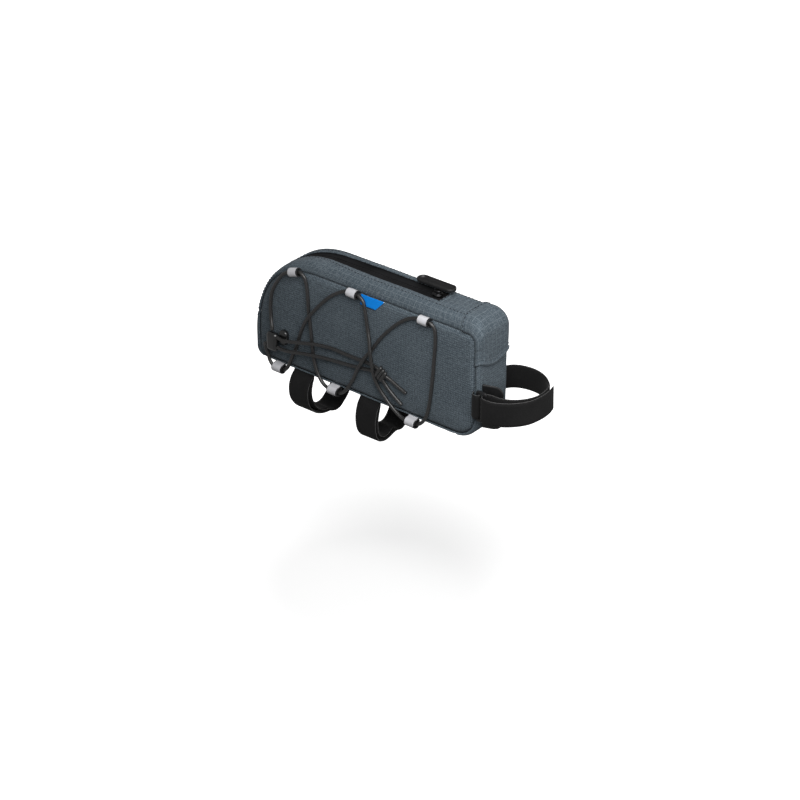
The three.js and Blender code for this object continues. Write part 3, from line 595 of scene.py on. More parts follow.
def hood_dent(from_seam, from_hem):
    """The near low corner of the hood is pressed in where its hem is sewn down."""
    return -0.0026 * math.exp(-((from_seam - 0.0045) / 0.006) ** 2 - ((from_hem - 0.011) / 0.009) ** 2)


def hood():
    places = spread(-1.0, 1.0, 44, 0.6)
    low = [hood_edge_t(v) for v in places]
    rows = stretch("top", top_t(HOOD_REAR_X), 0, 8) + stretch("front_top", 1, 0, 14, False)
    rows += [("front", [lerp(1, t, i / 20) for t in low]) for i in range(1, 21)]
    piece = gusset_cloth("hood_cloth", rows, lambda s, t: places, lift=0.0016, wall=0.0013,
                         edges=(0.0030, 0.0026), hems=(HOOD_REAR_HEM, HOOD_LOW_HEM), seed=5, dent=hood_dent)
    return finish_piece(piece, top_cloth, ["front_hood"])


def front_panel():
    rows = stretch("front", front_t(0.0955), 0, 30) + stretch("front_corner", 1, 0, 22, False)
    piece = gusset_cloth("front_cloth", rows, full_width(), seed=6)
    return finish_piece(piece, side_cloth, ["front_panel"])


def base_panel():
    rows = stretch("base", 0.9985, 0.0015, 90)
    piece = gusset_cloth("base_cloth", rows, full_width(30), edges=(0.0026, 0.0010), seed=7)
    return finish_piece(piece, side_cloth, ["base_panel"])


def rear_panel():
    rows = stretch("rear_corner", 1, 0, 12) + stretch("rear_low", 1, 0, 6, False)
    rows += stretch("rear_curve", 1, STRIP_END_AT + 0.004, 18, False)
    piece = gusset_cloth("rear_cloth", rows, full_width(), ends=(0.0005, 0.0009), seed=8)
    return finish_piece(piece, side_cloth, ["rear_panel"])


gusset = [top_strip(-1), top_strip(1), zip_tab(), hood(), front_panel(), base_panel(), rear_panel()]
for panel in gusset:
    print(panel.name, len(panel.data.polygons), "faces")

# %% [markdown]
# A side panel is cloth over foam, sewn in all round. Its outline is the seam's. It rolls over
# quickly at the edge, where the foam ends just inside the stitches, and crowns slightly towards
# the middle. Rings a fixed distance from the edge make the roll, and rings that shrink towards
# the centre make the rest.

# %% Padded side panels
PAD_EDGE_Y = 0.0190
PAD_ROLL, PAD_ROLL_HEIGHT = 0.0050, 0.0042
PAD_CROWN = 0.0011
PAD_CENTRE = Vector((0.5 * (SEAM["rear"] + SEAM["front"]), 0.5 * (SEAM["low"] + SEAM["high"])))
PAD_RING_DISTANCES = (-0.0008, 0.0, 0.0004, 0.0009, 0.0015, 0.0022, 0.003, 0.0038, 0.0046, 0.0056)
PAD_WALL = 0.0026
PAD_SEGMENTS = dict(
    top=60, rear_curve=90, rear_low=16, rear_corner=16, base=76, front_corner=34, front=34, front_top=14,
)


def seam_loop():
    loop = []
    for segment, steps in PAD_SEGMENTS.items():
        loop += [Vector(outline_point(SEAM, segment, i / steps)) for i in range(steps)]
    return loop


def inset_loop(loop, distance):
    moved = []
    count = len(loop)
    for i, p in enumerate(loop):
        along = (loop[(i + 1) % count] - loop[i - 1]).normalized()
        moved.append(p + Vector((along.y, -along.x)) * -distance)
    return moved


def even_out(loop, rounds):
    """Close corners of a loop open up when each point moves to the middle of its neighbours."""
    count = len(loop)
    for _ in range(rounds):
        loop = [(loop[i - 1] + loop[i] * 2 + loop[(i + 1) % count]) / 4 for i in range(count)]
    return loop


def pad_height(distance, place):
    k = min(1.0, distance / PAD_ROLL)
    roll = PAD_ROLL_HEIGHT * math.sqrt(max(0.0, 1 - (1 - k) ** 2))
    u = (place.x - PAD_CENTRE.x) / (0.5 * (SEAM["front"] - SEAM["rear"]))
    w = (place.y - PAD_CENTRE.y) / (0.5 * (SEAM["high"] - SEAM["low"]))
    crown = max(0.0, 1 - u ** 4) * max(0.0, 1 - w ** 4)
    return roll + PAD_CROWN * crown * smooth_step(distance / 0.012)


def side_panel(side):
    seam = seam_loop()
    tried = inset_loop(seam, 0.001)[10]
    inwards = 1 if (tried - PAD_CENTRE).length < (seam[10] - PAD_CENTRE).length else -1
    steps = PAD_RING_DISTANCES
    rings = [(inset_loop(seam, inwards * (d + 0.0006)), d) for d in steps]
    for i in range(len(steps) - 3, len(steps)):
        rings[i] = (even_out(rings[i][0], 8 * (i - len(steps) + 4)), steps[i])
    last = rings[-1][0]
    for i in range(1, 26):
        share = 1 - (i / 26) ** 1.15
        rings.append(([PAD_CENTRE.lerp(p, share) for p in last], steps[-1] + (1 - share) * 0.05))
    points, uvs = [], []
    for loop, distance in rings:
        for p, at_seam in zip(loop, seam):
            y = PAD_EDGE_Y + pad_height(distance, p)
            y += slow_dent((p.x, side * 0.3, p.y), 0.0006, 16) * smooth_step(distance / 0.02)
            folds = pucker(max(0.0, distance - 0.003), at_seam, 11 + side, 0.0004, 0.009)
            y += folds * smooth_step(distance / 0.003)
            points.append(Vector((p.x, side * y, p.y)))
            uvs.append((p.x, p.y))
    faces = grid_faces(len(rings), len(seam), True)
    middle = len(points)
    points.append(Vector((PAD_CENTRE.x, side * (PAD_EDGE_Y + pad_height(0.06, PAD_CENTRE)), PAD_CENTRE.y)))
    uvs.append((PAD_CENTRE.x, PAD_CENTRE.y))
    start = (len(rings) - 1) * len(seam)
    for i in range(len(seam)):
        faces.append((start + i, middle, start + (i + 1) % len(seam)))
    name = "side_near_cloth" if side < 0 else "side_far_cloth"
    node = "side_panel_near" if side < 0 else "side_panel_far"
    piece = mesh_object(name, points, faces, uvs)
    shell = bmesh.new()
    shell.from_mesh(piece.data)
    bmesh.ops.recalc_face_normals(shell, faces=shell.faces)
    if sum(f.normal.y for f in shell.faces) * side < 0:
        bmesh.ops.reverse_faces(shell, faces=shell.faces)
    shell.to_mesh(piece.data)
    shell.free()
    wall = piece.modifiers.new("foam", "SOLIDIFY")
    wall.thickness = PAD_WALL
    wall.offset = -1
    apply_modifiers(piece)
    piece.data.polygons.foreach_set("use_smooth", [True] * len(piece.data.polygons))
    finish_piece(piece, side_cloth, [node])
    return piece


side_near = side_panel(-1)
side_far = side_panel(1)
print("padded sides", len(side_near.data.polygons), "faces each")

# %% [markdown]
# Webbing. The straps are narrow-woven tape with a fleece face for the hooks. Its ribs run
# across the strap, its two selvedges are a little thicker, and fluff breaks up the ribs. A pale
# band painted along each selvedge is a painted highlight for the light it catches. The UV map of
# a strap is in metres along and across it, so the distance from the selvedge is known everywhere.

# %% Webbing finish
WEBBING_WIDTH = 0.025


def make_webbing(name, dark, pale, rib=0.0011, width=WEBBING_WIDTH):
    tape = Finish(name)
    uv = tape.place("UV")
    across, along, _ = tape.parts(uv)
    rib_wave = (along * (FULL_TURN / rib)).sine() * 0.5 + 0.5
    yarn_wave = (across * (FULL_TURN / 0.0007)).sine() * 0.5 + 0.5
    fluff = tape.noise(tape.scaled(uv, (1400, 900, 1)), 1.0, 3.0, 0.65)
    patch = tape.noise(tape.place(), 45.0, 3.0, 0.5)
    # Painted highlight: a pale band along both selvedges, six times the pale tone, for the light the edges
    # catch.
    edge = ((across - width / 2).size() * (2 / width)).over(0.965)
    tone = fluff * 0.55 + rib_wave * 0.12 + patch * 0.5 - 0.1
    color = tape.ramp(tone.limit(), [(0.2, dark), (0.85, pale)])
    color = tape.mix(edge * 0.8, color, tuple(c * 6 for c in pale))
    tape.set(base_color=color, roughness=0.93 - fluff * 0.1, sheen_weight=0.05, sheen_roughness=0.45)
    tape.set(specular_ior_level=0.22)
    tape.bump(rib_wave * 0.35 + yarn_wave * 0.15 + fluff * 0.7, 0.55, 0.0003)
    return tape.material


strap_webbing = make_webbing("black_strap_webbing", (0.0035, 0.0035, 0.0038), (0.020, 0.0196, 0.0198))
print("webbing finish", strap_webbing.name)

# %% [markdown]
# A strap is a ribbon with a soft rectangular section that follows a plane curve. The section has
# rounded selvedges and a slightly sunk middle, and the ribbon's own twist and waver come from a
# slow noise, because webbing under no load never lies quite flat. The two straps under the base
# are given as shares of the bag's half width and of the drop of the loop, and their ends are
# tucked up into the base's cloth, where they are sewn in.

# %% Straps
WEBBING = 0.0018


def smooth_path(points, steps):
    """Evenly stepped Catmull-Rom curve through points."""
    pts = [Vector(p) for p in points]
    ends = [pts[0] * 2 - pts[1]] + pts + [pts[-1] * 2 - pts[-2]]
    dense = []
    for a, b, c, d in zip(ends, ends[1:], ends[2:], ends[3:]):
        ta = 0.0
        tb = ta + max(1e-9, (b - a).length) ** 0.5
        tc = tb + max(1e-9, (c - b).length) ** 0.5
        td = tc + max(1e-9, (d - c).length) ** 0.5
        for k in range(24):
            t = lerp(tb, tc, k / 24)
            p = a * ((tb - t) / (tb - ta)) + b * ((t - ta) / (tb - ta))
            q = b * ((tc - t) / (tc - tb)) + c * ((t - tb) / (tc - tb))
            r = c * ((td - t) / (td - tc)) + d * ((t - tc) / (td - tc))
            pq = p * ((tc - t) / (tc - ta)) + q * ((t - ta) / (tc - ta))
            qr = q * ((td - t) / (td - tb)) + r * ((t - tb) / (td - tb))
            dense.append(pq * ((tc - t) / (tc - tb)) + qr * ((t - tb) / (tc - tb)))
    dense.append(pts[-1])
    lengths = [0.0]
    for a, b in zip(dense, dense[1:]):
        lengths.append(lengths[-1] + (b - a).length)
    total = lengths[-1]
    even, k = [], 0
    for i in range(steps + 1):
        want = total * i / steps
        while k < len(dense) - 2 and lengths[k + 1] < want:
            k += 1
        span = lengths[k + 1] - lengths[k]
        even.append(dense[k].lerp(dense[k + 1], (want - lengths[k]) / span if span else 0))
    return even, total


def ribbon(name, path, total, sideways, width, thick, seed, waver=0.0003, material=None, nodes=(),
           back_shift=0.0):
    """A strap along path. sideways is the direction of its width, and back_shift moves its back
    aside in the UV map."""
    section = []
    corner = thick * 0.42
    half_w, half_t = width / 2, thick / 2
    for k in range(13):
        s = lerp(-1, 1, k / 12)
        edge = max(0.0, (abs(s) * half_w - (half_w - corner)) / corner)
        plump = math.sqrt(max(0.0, 1 - edge * edge)) * (0.93 + 0.07 * abs(s) ** 6)
        section.append((s * half_w, half_t * plump))
    ring = section + [(w, -h) for w, h in reversed(section[1:-1])]
    points, uvs = [], []
    steps = len(path) - 1
    for i, p in enumerate(path):
        along = (path[min(i + 1, steps)] - path[max(i - 1, 0)]).normalized()
        normal = along.cross(sideways).normalized()
        run = total * i / steps
        shift = waver * noise.noise(Vector((run * 45, seed, 0)))
        tilt = waver * 1.5 * noise.noise(Vector((run * 30, seed, 9)))
        taper = min(1.0, 0.55 + min(i, steps - i) * 0.25)
        for w, h in ring:
            points.append(p + sideways * (w + shift) + normal * (h * taper + tilt * w / half_w))
            uvs.append((w + half_w + (back_shift if h < 0 else 0.0), run))
    count = len(ring)
    faces = grid_faces(len(path), count, True)
    faces.append(tuple(range(count)))
    faces.append(tuple(reversed(range(len(points) - count, len(points)))))
    piece = mesh_object(name, points, faces, uvs)
    fix_normals(piece)
    return finish_piece(piece, material or strap_webbing, nodes)


BASE_STRAP_SHARES = {
    "base_strap_rear": (0.2236, [
        (-0.927, -0.006), (-1.164, -0.123), (-1.314, -0.279), (-1.336, -0.431),
        (-1.255, -0.598), (-1.027, -0.765), (-0.727, -0.885), (-0.386, -0.965),
        (-0.045, -1), (0.173, -1.012), (0.364, -1.052), (0.591, -1.073),
        (0.845, -1.048), (1.091, -0.973), (1.318, -0.89), (1.5, -0.775),
        (1.591, -0.598), (1.545, -0.369), (1.309, -0.16), (0.927, -0.006),
    ], [
        (-0.909, -0.065), (-0.991, -0.16), (-1.073, -0.331), (-1.041, -0.473),
        (-0.927, -0.608), (-0.718, -0.765), (-0.455, -0.873), (-0.182, -0.931),
        (0.109, -0.952),
    ]),
    "base_strap_front": (0.5263, [
        (-0.927, -0.006), (-1.118, -0.129), (-1.227, -0.285), (-1.259, -0.431),
        (-1.223, -0.608), (-1.109, -0.765), (-0.891, -0.877), (-0.591, -0.919),
        (-0.25, -0.902), (0.023, -0.86), (0.205, -0.846), (0.373, -0.865),
        (0.582, -0.869), (0.791, -0.819), (1, -0.702), (1.182, -0.535),
        (1.255, -0.348), (1.155, -0.16), (0.927, -0.006),
    ], [
        (-0.909, -0.065), (-0.982, -0.181), (-1.064, -0.348), (-1.073, -0.515),
        (-1, -0.669), (-0.818, -0.781), (-0.545, -0.815), (-0.282, -0.781),
        (-0.1, -0.721),
    ]),
}
FRONT_STRAP_RUN = [
    (-3.5, 23.6), (-7, 29), (-6.2, 35), (-2.2, 40.2), (4.5, 44.2), (14.5, 46.2), (24.5, 45.2), (33, 42),
    (40.3, 37), (46, 30), (49.4, 20), (49.6, 8), (46.2, -2.2), (39, -12), (30.5, -17.3), (24, -18.7),
    (19, -18.7), (15.2, -18.9), (12.4, -20.6), (11.1, -24), (12.4, -27.4), (15.2, -29.1), (19, -29.4),
    (24, -29.1), (31, -26.6), (39, -21), (45.6, -13.6), (50.4, -5), (52.6, 5), (53, 15), (52, 24), (50, 31.5),
]


STRAP_DROP = 0.048
BELOW_BASE = 0.0003
TUCK_Y, TUCK_Z = 0.90, 0.05
RING_LOW_Z = 0.0295


def base_straps():
    for name, (along, outer, inner) in BASE_STRAP_SHARES.items():
        centre_x = lerp(REAR_X, FRONT_X, along)
        for layer, shares, steps in (("outer", outer, 150), ("inner", inner, 80)):
            run_shares = [(math.copysign(TUCK_Y, shares[0][0]), TUCK_Z)] + shares
            run_shares += [(TUCK_Y, TUCK_Z)] if layer == "outer" else []
            run = [(centre_x, y * HALF_WIDTH, z * STRAP_DROP - BELOW_BASE) for y, z in run_shares]
            path, total = smooth_path(run, steps)
            piece = ribbon(f"{name}_{layer}_webbing", path, total, Vector((1, 0, 0)), WEBBING_WIDTH, WEBBING,
                           seed=along * 10 + steps, nodes=[f"{name}_{layer}"])
            print(piece.name, "is", round(total * 1000), "mm long")


def front_strap():
    run = [(SEAM["front"] + x * MM, y * MM, RING_LOW_Z + WEBBING_WIDTH / 2) for x, y in FRONT_STRAP_RUN]
    path, total = smooth_path(run, 300)
    piece = ribbon("front_strap_webbing", path, total, Vector((0, 0, 1)), WEBBING_WIDTH, WEBBING, seed=4.4,
                   nodes=["front_strap"])
    print("front strap is", round(total * 1000), "mm long")
    return piece


RING_ANCHOR_RUN = [
    (0.2, -22.9), (0.5, -25.4), (2.4, -27.6), (5.2, -28.4), (7.9, -27.4), (8.9, -25),
    (8.3, -22.9), (6.4, -22.3), (4.4, -22.4), (3.1, -22.9),
]


def ring_anchor():
    run = [(SEAM["front"] + x * MM, y * MM, RING_LOW_Z + WEBBING_WIDTH / 2) for x, y in RING_ANCHOR_RUN]
    path, total = smooth_path(run, 90)
    piece = ribbon("ring_anchor_webbing", path, total, Vector((0, 0, 1)), WEBBING_WIDTH, 0.0012, seed=7.7,
                   nodes=["ring_anchor"])
    return piece


base_straps()
front_strap()
ring_anchor()

# %% [markdown]
# Elastic cord. Its cover is braided from dark yarns, so the surface shows two families of slant
# ridges that cross each other. A tube carries a UV map in metres along it and in turns round
# it, and two sine waves on slanted lines make the braid.

# %% Cord finish
CORD_DIAMETER = 0.003


def make_cord_finish(name, dark, pale, diameter=CORD_DIAMETER, strands=8):
    braid = Finish(name)
    around, along, _ = braid.parts(braid.place("UV"))
    pitch = diameter * 2.6
    twist, climb = FULL_TURN * strands / 2, FULL_TURN / pitch * 2
    slant_a = (around * twist + along * climb).sine() * 0.5 + 0.5
    slant_b = (around * twist - along * climb).sine() * 0.5 + 0.5
    ridge = slant_a * slant_b
    fluff = braid.noise(braid.scaled(braid.place("UV"), (14, 2600, 1)), 1.0, 3.0, 0.6)
    wear = braid.noise(braid.place(), 60.0, 3.0, 0.6)
    tone = ridge * 0.5 + fluff * 0.35 + wear * 0.3
    color = braid.ramp(tone.limit(), [(0.15, dark), (0.85, pale)])
    braid.set(base_color=color, roughness=0.42 - ridge * 0.08, sheen_weight=0.05, sheen_roughness=0.4)
    braid.set(specular_ior_level=0.85)
    braid.bump(ridge + fluff * 0.3, 0.3, 0.0001)
    return braid.material


cord_finish = make_cord_finish("elastic_cord_braid", (0.0032, 0.0031, 0.0032), (0.034, 0.033, 0.033))
print("cord finish", cord_finish.name)

# %% [markdown]
# The cord is one long piece that starts in the cord lock, passes through all six loops and comes
# back to the lock. Both ends leave the lock again as tails, are tied together in a knot and end
# in two short free tips. The routes are the ones that the CAD frame follows, in metres. Each is
# a closed tube, a little thicker than the solid, because the braid stands proud of the core.

# %% Cords
LACING_ROUTE = [
    (-0.1070, -0.0296, 0.0383), (-0.1076, -0.0290, 0.0420), (-0.1108, -0.0266, 0.0510),
    (-0.1115, -0.0260, 0.0630), (-0.1090, -0.0260, 0.0785), (-0.1010, -0.0262, 0.0930),
    (-0.0935, -0.0268, 0.1020), (-0.0862, -0.0268, 0.1063), (-0.0795, -0.0268, 0.1085),
    (-0.0730, -0.0268, 0.1102), (-0.0680, -0.0264, 0.1070), (-0.0657, -0.0260, 0.0995),
    (-0.0643, -0.0260, 0.0880), (-0.0634, -0.0260, 0.0740), (-0.0605, -0.0260, 0.0485),
    (-0.0570, -0.0260, 0.0210), (-0.0515, -0.0260, 0.0065), (-0.0450, -0.0266, 0.0000),
    (-0.0386, -0.0268, -0.0024), (-0.0254, -0.0268, -0.0024), (-0.0190, -0.0266, 0.0015),
    (-0.0090, -0.0260, 0.0170), (-0.0045, -0.0276, 0.0260), (0.0000, -0.0295, 0.0340),
    (0.0045, -0.0297, 0.0415), (0.0085, -0.0293, 0.0485), (0.0153, -0.0270, 0.0585),
    (0.0250, -0.0260, 0.0735), (0.0415, -0.0260, 0.0920), (0.0560, -0.0262, 0.1040),
    (0.0645, -0.0268, 0.1082), (0.0705, -0.0268, 0.1094), (0.0832, -0.0268, 0.1094),
    (0.0878, -0.0264, 0.1060), (0.0893, -0.0260, 0.0975), (0.0882, -0.0260, 0.0725),
    (0.0853, -0.0260, 0.0400), (0.0815, -0.0260, 0.0160), (0.0770, -0.0264, 0.0045),
    (0.0695, -0.0268, -0.0022), (0.0563, -0.0268, -0.0024), (0.0490, -0.0266, -0.0008),
    (0.0375, -0.0260, 0.0060), (0.0255, -0.0266, 0.0180), (0.0204, -0.0284, 0.0285),
    (0.0188, -0.0299, 0.0365), (0.0179, -0.0301, 0.0425), (0.0167, -0.0304, 0.0510),
    (0.0155, -0.0304, 0.0585), (0.0132, -0.0285, 0.0680), (0.0105, -0.0270, 0.0760),
    (0.0070, -0.0270, 0.0960), (0.0045, -0.0269, 0.1055), (-0.0015, -0.0268, 0.1094),
    (-0.0145, -0.0268, 0.1094), (-0.0220, -0.0266, 0.1065), (-0.0380, -0.0260, 0.0950),
    (-0.0545, -0.0278, 0.0765), (-0.0620, -0.0296, 0.0660), (-0.0720, -0.0275, 0.0475),
    (-0.0795, -0.0263, 0.0275), (-0.0860, -0.0262, 0.0130), (-0.0910, -0.0266, 0.0018),
    (-0.0957, -0.0268, -0.0024), (-0.1083, -0.0268, -0.0022), (-0.1132, -0.0265, 0.0015),
    (-0.1158, -0.0264, 0.0090), (-0.1172, -0.0282, 0.0170), (-0.1164, -0.0296, 0.0210),
    (-0.1134, -0.0300, 0.0222),
]
UPPER_TAIL_ROUTE = [
    (-0.0991, -0.0316, 0.0342), (-0.0940, -0.0320, 0.0336), (-0.0860, -0.0322, 0.0344),
    (-0.0750, -0.0318, 0.0370), (-0.0660, -0.0313, 0.0390), (-0.0540, -0.0296, 0.0413),
    (-0.0360, -0.0266, 0.0423), (-0.0180, -0.0260, 0.0416), (-0.0040, -0.0260, 0.0416),
    (0.0080, -0.0260, 0.0420), (0.0150, -0.0263, 0.0420), (0.0210, -0.0269, 0.0410),
    (0.0246, -0.0274, 0.0392), (0.0284, -0.0275, 0.0372), (0.0314, -0.0270, 0.0357),
    (0.0355, -0.0262, 0.0340), (0.0445, -0.0260, 0.0300), (0.0555, -0.0260, 0.0255),
]
LOWER_TAIL_ROUTE = [
    (-0.0991, -0.0316, 0.0236), (-0.0940, -0.0316, 0.0230), (-0.0860, -0.0312, 0.0232),
    (-0.0760, -0.0306, 0.0250), (-0.0660, -0.0299, 0.0270), (-0.0560, -0.0295, 0.0285),
    (-0.0360, -0.0266, 0.0296), (-0.0180, -0.0260, 0.0310), (-0.0040, -0.0260, 0.0328),
    (0.0070, -0.0260, 0.0344), (0.0140, -0.0260, 0.0354), (0.0204, -0.0264, 0.0356),
    (0.0234, -0.0272, 0.0348), (0.0260, -0.0273, 0.0332), (0.0277, -0.0270, 0.0310),
    (0.0315, -0.0262, 0.0260), (0.0385, -0.0260, 0.0195), (0.0505, -0.0260, 0.0115),
]

BRAID_PROUD = 0.00025
END_ROUND = 0.0006


def tube(name, route, steps, sides=14, waver=0.00006):
    path, total = smooth_path(route, steps)
    diameter = CORD_DIAMETER + 2 * BRAID_PROUD
    tangents = [(path[min(i + 1, steps)] - path[max(i - 1, 0)]).normalized() for i in range(steps + 1)]
    up = tangents[0].orthogonal().normalized()
    points, uvs = [], []
    for i, (p, along) in enumerate(zip(path, tangents)):
        up = (up - along * up.dot(along)).normalized()
        side = along.cross(up)
        run = total * i / steps
        from_end = min(run, total - run)
        radius = diameter / 2 + waver * noise.noise(Vector((run * 180, 3.1, 0)))
        if from_end < END_ROUND:
            radius *= 0.8 + 0.2 * from_end / END_ROUND
        for k in range(sides):
            angle = FULL_TURN * k / sides
            points.append(p + (up * math.cos(angle) + side * math.sin(angle)) * radius)
            uvs.append((k / sides, run))
    faces = grid_faces(len(path), sides, True)
    faces.append(tuple(reversed(range(sides))))
    faces.append(tuple(range(len(points) - sides, len(points))))
    piece = mesh_object(name, points, faces, uvs)
    layer = piece.data.uv_layers[0]
    for face in piece.data.polygons:
        loops = list(face.loop_indices)
        if len(loops) == 4 and max(layer.data[k].uv.x for k in loops) > 0.9:
            for k in loops:
                if layer.data[k].uv.x < 0.05:
                    layer.data[k].uv.x += 1.0
    fix_normals(piece)
    return piece, path, total


def lay_cord(name, route, steps, nodes):
    piece, path, total = tube(name, route, steps)
    finish_piece(piece, cord_finish, nodes)
    tuple(path[0])
    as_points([tuple(p) for p in path[::4]] + [tuple(path[-1])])
    print(name, "is", round(total * 1000), "mm long")
    return piece


def knot_turns():
    """Turns side by side, drawn tight, which show as three bands."""
    centre = Vector((0.0273, -0.0286, 0.0372))
    lean = math.radians(36)
    half_length, half_depth, half_spread, turns = 0.0054, 0.0016, 0.0042, 2.5
    long_way = Vector((math.sin(lean), 0, math.cos(lean)))
    across = Vector((math.cos(lean), 0, -math.sin(lean)))
    outward = Vector((0, -1, 0))
    route = []
    for i in range(45):
        k = i / 44
        angle = FULL_TURN * turns * k - 0.6
        p = centre + across * lerp(-half_spread, half_spread, k)
        p += long_way * (half_length * math.cos(angle)) + outward * (half_depth * math.sin(angle))
        route.append(p)
    return route


knot = tube("knot_turns", knot_turns(), 180)[0]
finish_piece(knot, cord_finish, ["cord_knot"])
lacing = lay_cord("lacing_elastic", LACING_ROUTE, 1150, ["lacing_cord"])
upper_tail = lay_cord("tail_upper_elastic", UPPER_TAIL_ROUTE, 260,
                      ["cord_tail_upper", "cord_tip_upper"])
lower_tail = lay_cord("tail_lower_elastic", LOWER_TAIL_ROUTE, 260,
                      ["cord_tail_lower", "cord_tip_lower"])

# %% [markdown]
# Moulded parts share one way of making. A plan with round corners is stacked in levels, and each
# level says how high it lies and how far its outline is drawn in. Many close levels at an edge
# make it round, which is how a moulded edge catches a thin line of light.

# %% Moulded blocks
def plan_ring(width, depth, corner, inset, sides=10):
    ring = []
    x, y, r = width / 2 - corner, depth / 2 - corner, max(corner - inset, 1e-5)
    if corner < inset:
        x, y = x - (inset - corner), y - (inset - corner)
    for (cx, cy), start in (((x, -y), -90), ((x, y), 0), ((-x, y), 90), ((-x, -y), 180)):
        for k in range(sides + 1):
            angle = math.radians(start + 90 * k / sides)
            ring.append((cx + r * math.cos(angle), cy + r * math.sin(angle)))
    return ring


def moulded_block(name, width, depth, corner, levels, place, sides=10):
    """place turns (across, deep, up) of the block into a point."""
    points, faces = [], []
    for height, inset in levels:
        ring = plan_ring(width, depth, corner, inset, sides)
        points += [place(a, b, height) for a, b in ring]
    count = len(ring)
    faces = grid_faces(len(levels), count, True)
    for start, order in ((0, 1), ((len(levels) - 1) * count, -1)):
        middle = len(points)
        loop = points[start:start + count]
        points.append(sum(loop, Vector()) / count)
        for k in range(count):
            a, b = start + k, start + (k + 1) % count
            faces.append((a, b, middle) if order < 0 else (b, a, middle))
    piece = mesh_object(name, points, faces)
    fix_normals(piece)
    return piece


def round_levels(low, high, radius, steps=6):
    levels = []
    for k in range(steps + 1):
        angle = math.pi / 2 * k / steps
        levels.append((low + radius * (1 - math.sin(angle)), radius * (1 - math.cos(angle))))
    levels = levels[::-1]
    for k in range(steps + 1):
        angle = math.pi / 2 * k / steps
        levels.append((high - radius * (1 - math.sin(angle)), radius * (1 - math.cos(angle))))
    return [levels[i] for i in sorted(range(len(levels)), key=lambda i: (levels[i][0], i))]


def make_plastic(name, color, roughness, grain=900.0, grain_depth=0.00004, coat=0.0):
    moulded = Finish(name)
    speckle = moulded.noise(moulded.place(), grain, 2.0, 0.5)
    rubbed = moulded.noise(moulded.place(), 120.0, 3.0, 0.6)
    tone = moulded.ramp((rubbed * 0.7 + speckle * 0.3).limit(), [
        (0.3, tuple(c * 0.75 for c in color)), (0.7, tuple(c * 1.35 for c in color)),
    ])
    moulded.set(base_color=tone, roughness=roughness + (rubbed - 0.5) * 0.25)
    moulded.set(coat_weight=coat)
    moulded.set(coat_roughness=0.12)
    moulded.bump(speckle, 0.35, grain_depth)
    return moulded.material


gloss_plastic = make_plastic("gloss_black_plastic", (0.0075, 0.0075, 0.008), 0.30,
                             grain_depth=0.00001, coat=0.9)
soft_rubber = make_plastic("soft_black_rubber", (0.0085, 0.0085, 0.009), 0.42, 1500.0, 0.00005)
print("moulded finishes", gloss_plastic.name, soft_rubber.name)

# %% [markdown]
# The cord lock is a small glossy barrel with a spring button. Its ends are rounded, and the
# button is an oval disc that stands out beside it. Both are moulded blocks: the barrel is stacked
# upwards, and the button towards the side.

# %% Cord lock
LOCK_CENTRE, LOCK_HALF_HEIGHT = Vector((-0.106, -0.030, 0.02725)), 0.00975
BUTTON_X, BUTTON_Z, BUTTON_OUTER_Y, BUTTON_INNER_Y = -0.0941, 0.034, -0.0297, -0.0245


def cord_lock():
    x, y, z = LOCK_CENTRE
    levels = round_levels(z - LOCK_HALF_HEIGHT, z + LOCK_HALF_HEIGHT, 0.0037, 8)
    body = moulded_block("cord_lock_barrel", 0.013, 0.008, 0.0039, levels,
                         lambda a, b, h: Vector((x + a, y + b, h)))
    finish_piece(body, gloss_plastic, ["cord_lock_body"])
    levels = round_levels(BUTTON_OUTER_Y, BUTTON_INNER_Y, 0.0019, 7)
    button = moulded_block("cord_lock_button", 0.010, 0.016, 0.0049, levels,
                           lambda a, b, h: Vector((BUTTON_X + a, h, BUTTON_Z + b)))
    finish_piece(button, gloss_plastic, ["cord_lock_plunger"])
    return body, button


lock_body, lock_button = cord_lock()
print("cord lock", [round(v * 1000, 1) for v in lock_body.dimensions])

# %% [markdown]
# The zip is the kind with a rubbery film over it: two black coated tapes lie edge to edge and
# hide the teeth. The film is smooth, with soft paler lengthwise streaks that are a painted sheen,
# and the buried teeth lift it into a row of very small ribs beside the seam.

# %% Coated zip
def make_zip_film():
    film = Finish("coated_zip_film")
    across, along, _ = film.parts(film.place("UV"))
    # Painted sheen: these streaks lift the black film's colour towards grey where it would reflect light.
    # They also vary its roughness.
    painted_sheen_streak = film.noise(film.scaled(film.place("UV"), (420, 26, 1)), 1.0, 4.0, 0.6)
    cloud = film.noise(film.place(), 70.0, 3.0, 0.5)
    ribs = (along * (FULL_TURN / 0.0016)).sine() * 0.5 + 0.5
    tone = (painted_sheen_streak * 0.6 + cloud * 0.4).limit()
    color = film.ramp(tone, [(0.3, (0.0035, 0.0035, 0.004)), (0.75, (0.014, 0.014, 0.0155))])
    film.set(base_color=color, roughness=0.52 + painted_sheen_streak * 0.3)
    film.set(specular_ior_level=0.16)
    film.bump(ribs * 0.16 + painted_sheen_streak * 0.6 + cloud * 0.3, 0.3, 0.0003)
    return film.material


zip_film = make_zip_film()


def zip_half(side):
    rows = stretch("top", top_t(ZIP_FRONT_X + 0.003), 1, 70)
    rows += stretch("rear_curve", 0, ZIP_REAR_AT - 0.03, 40, False)

    def columns(segment, t):
        start, end = SECTION_ENDS[segment]
        flat = HALF_WIDTH * lerp(SECTION[start][0], SECTION[end][0], t)
        low = 0.00012 * 0.5 / flat
        high = zip_half_v(segment, t, 0.003)
        return [side * v for v in spread(low, high, 20, 0.7)]

    name = "zip_film_near" if side < 0 else "zip_film_far"
    node = "zip_tape_near" if side < 0 else "zip_tape_far"
    piece = gusset_cloth(name, rows, columns, lift=-0.00178, wall=0.0012, inner_edge=(0.0009, 0.00045),
                         seed=13 + side)
    return finish_piece(piece, zip_film, [node])


zip_halves = [zip_half(-1), zip_half(1)]
print("zip halves", [piece.name for piece in zip_halves])

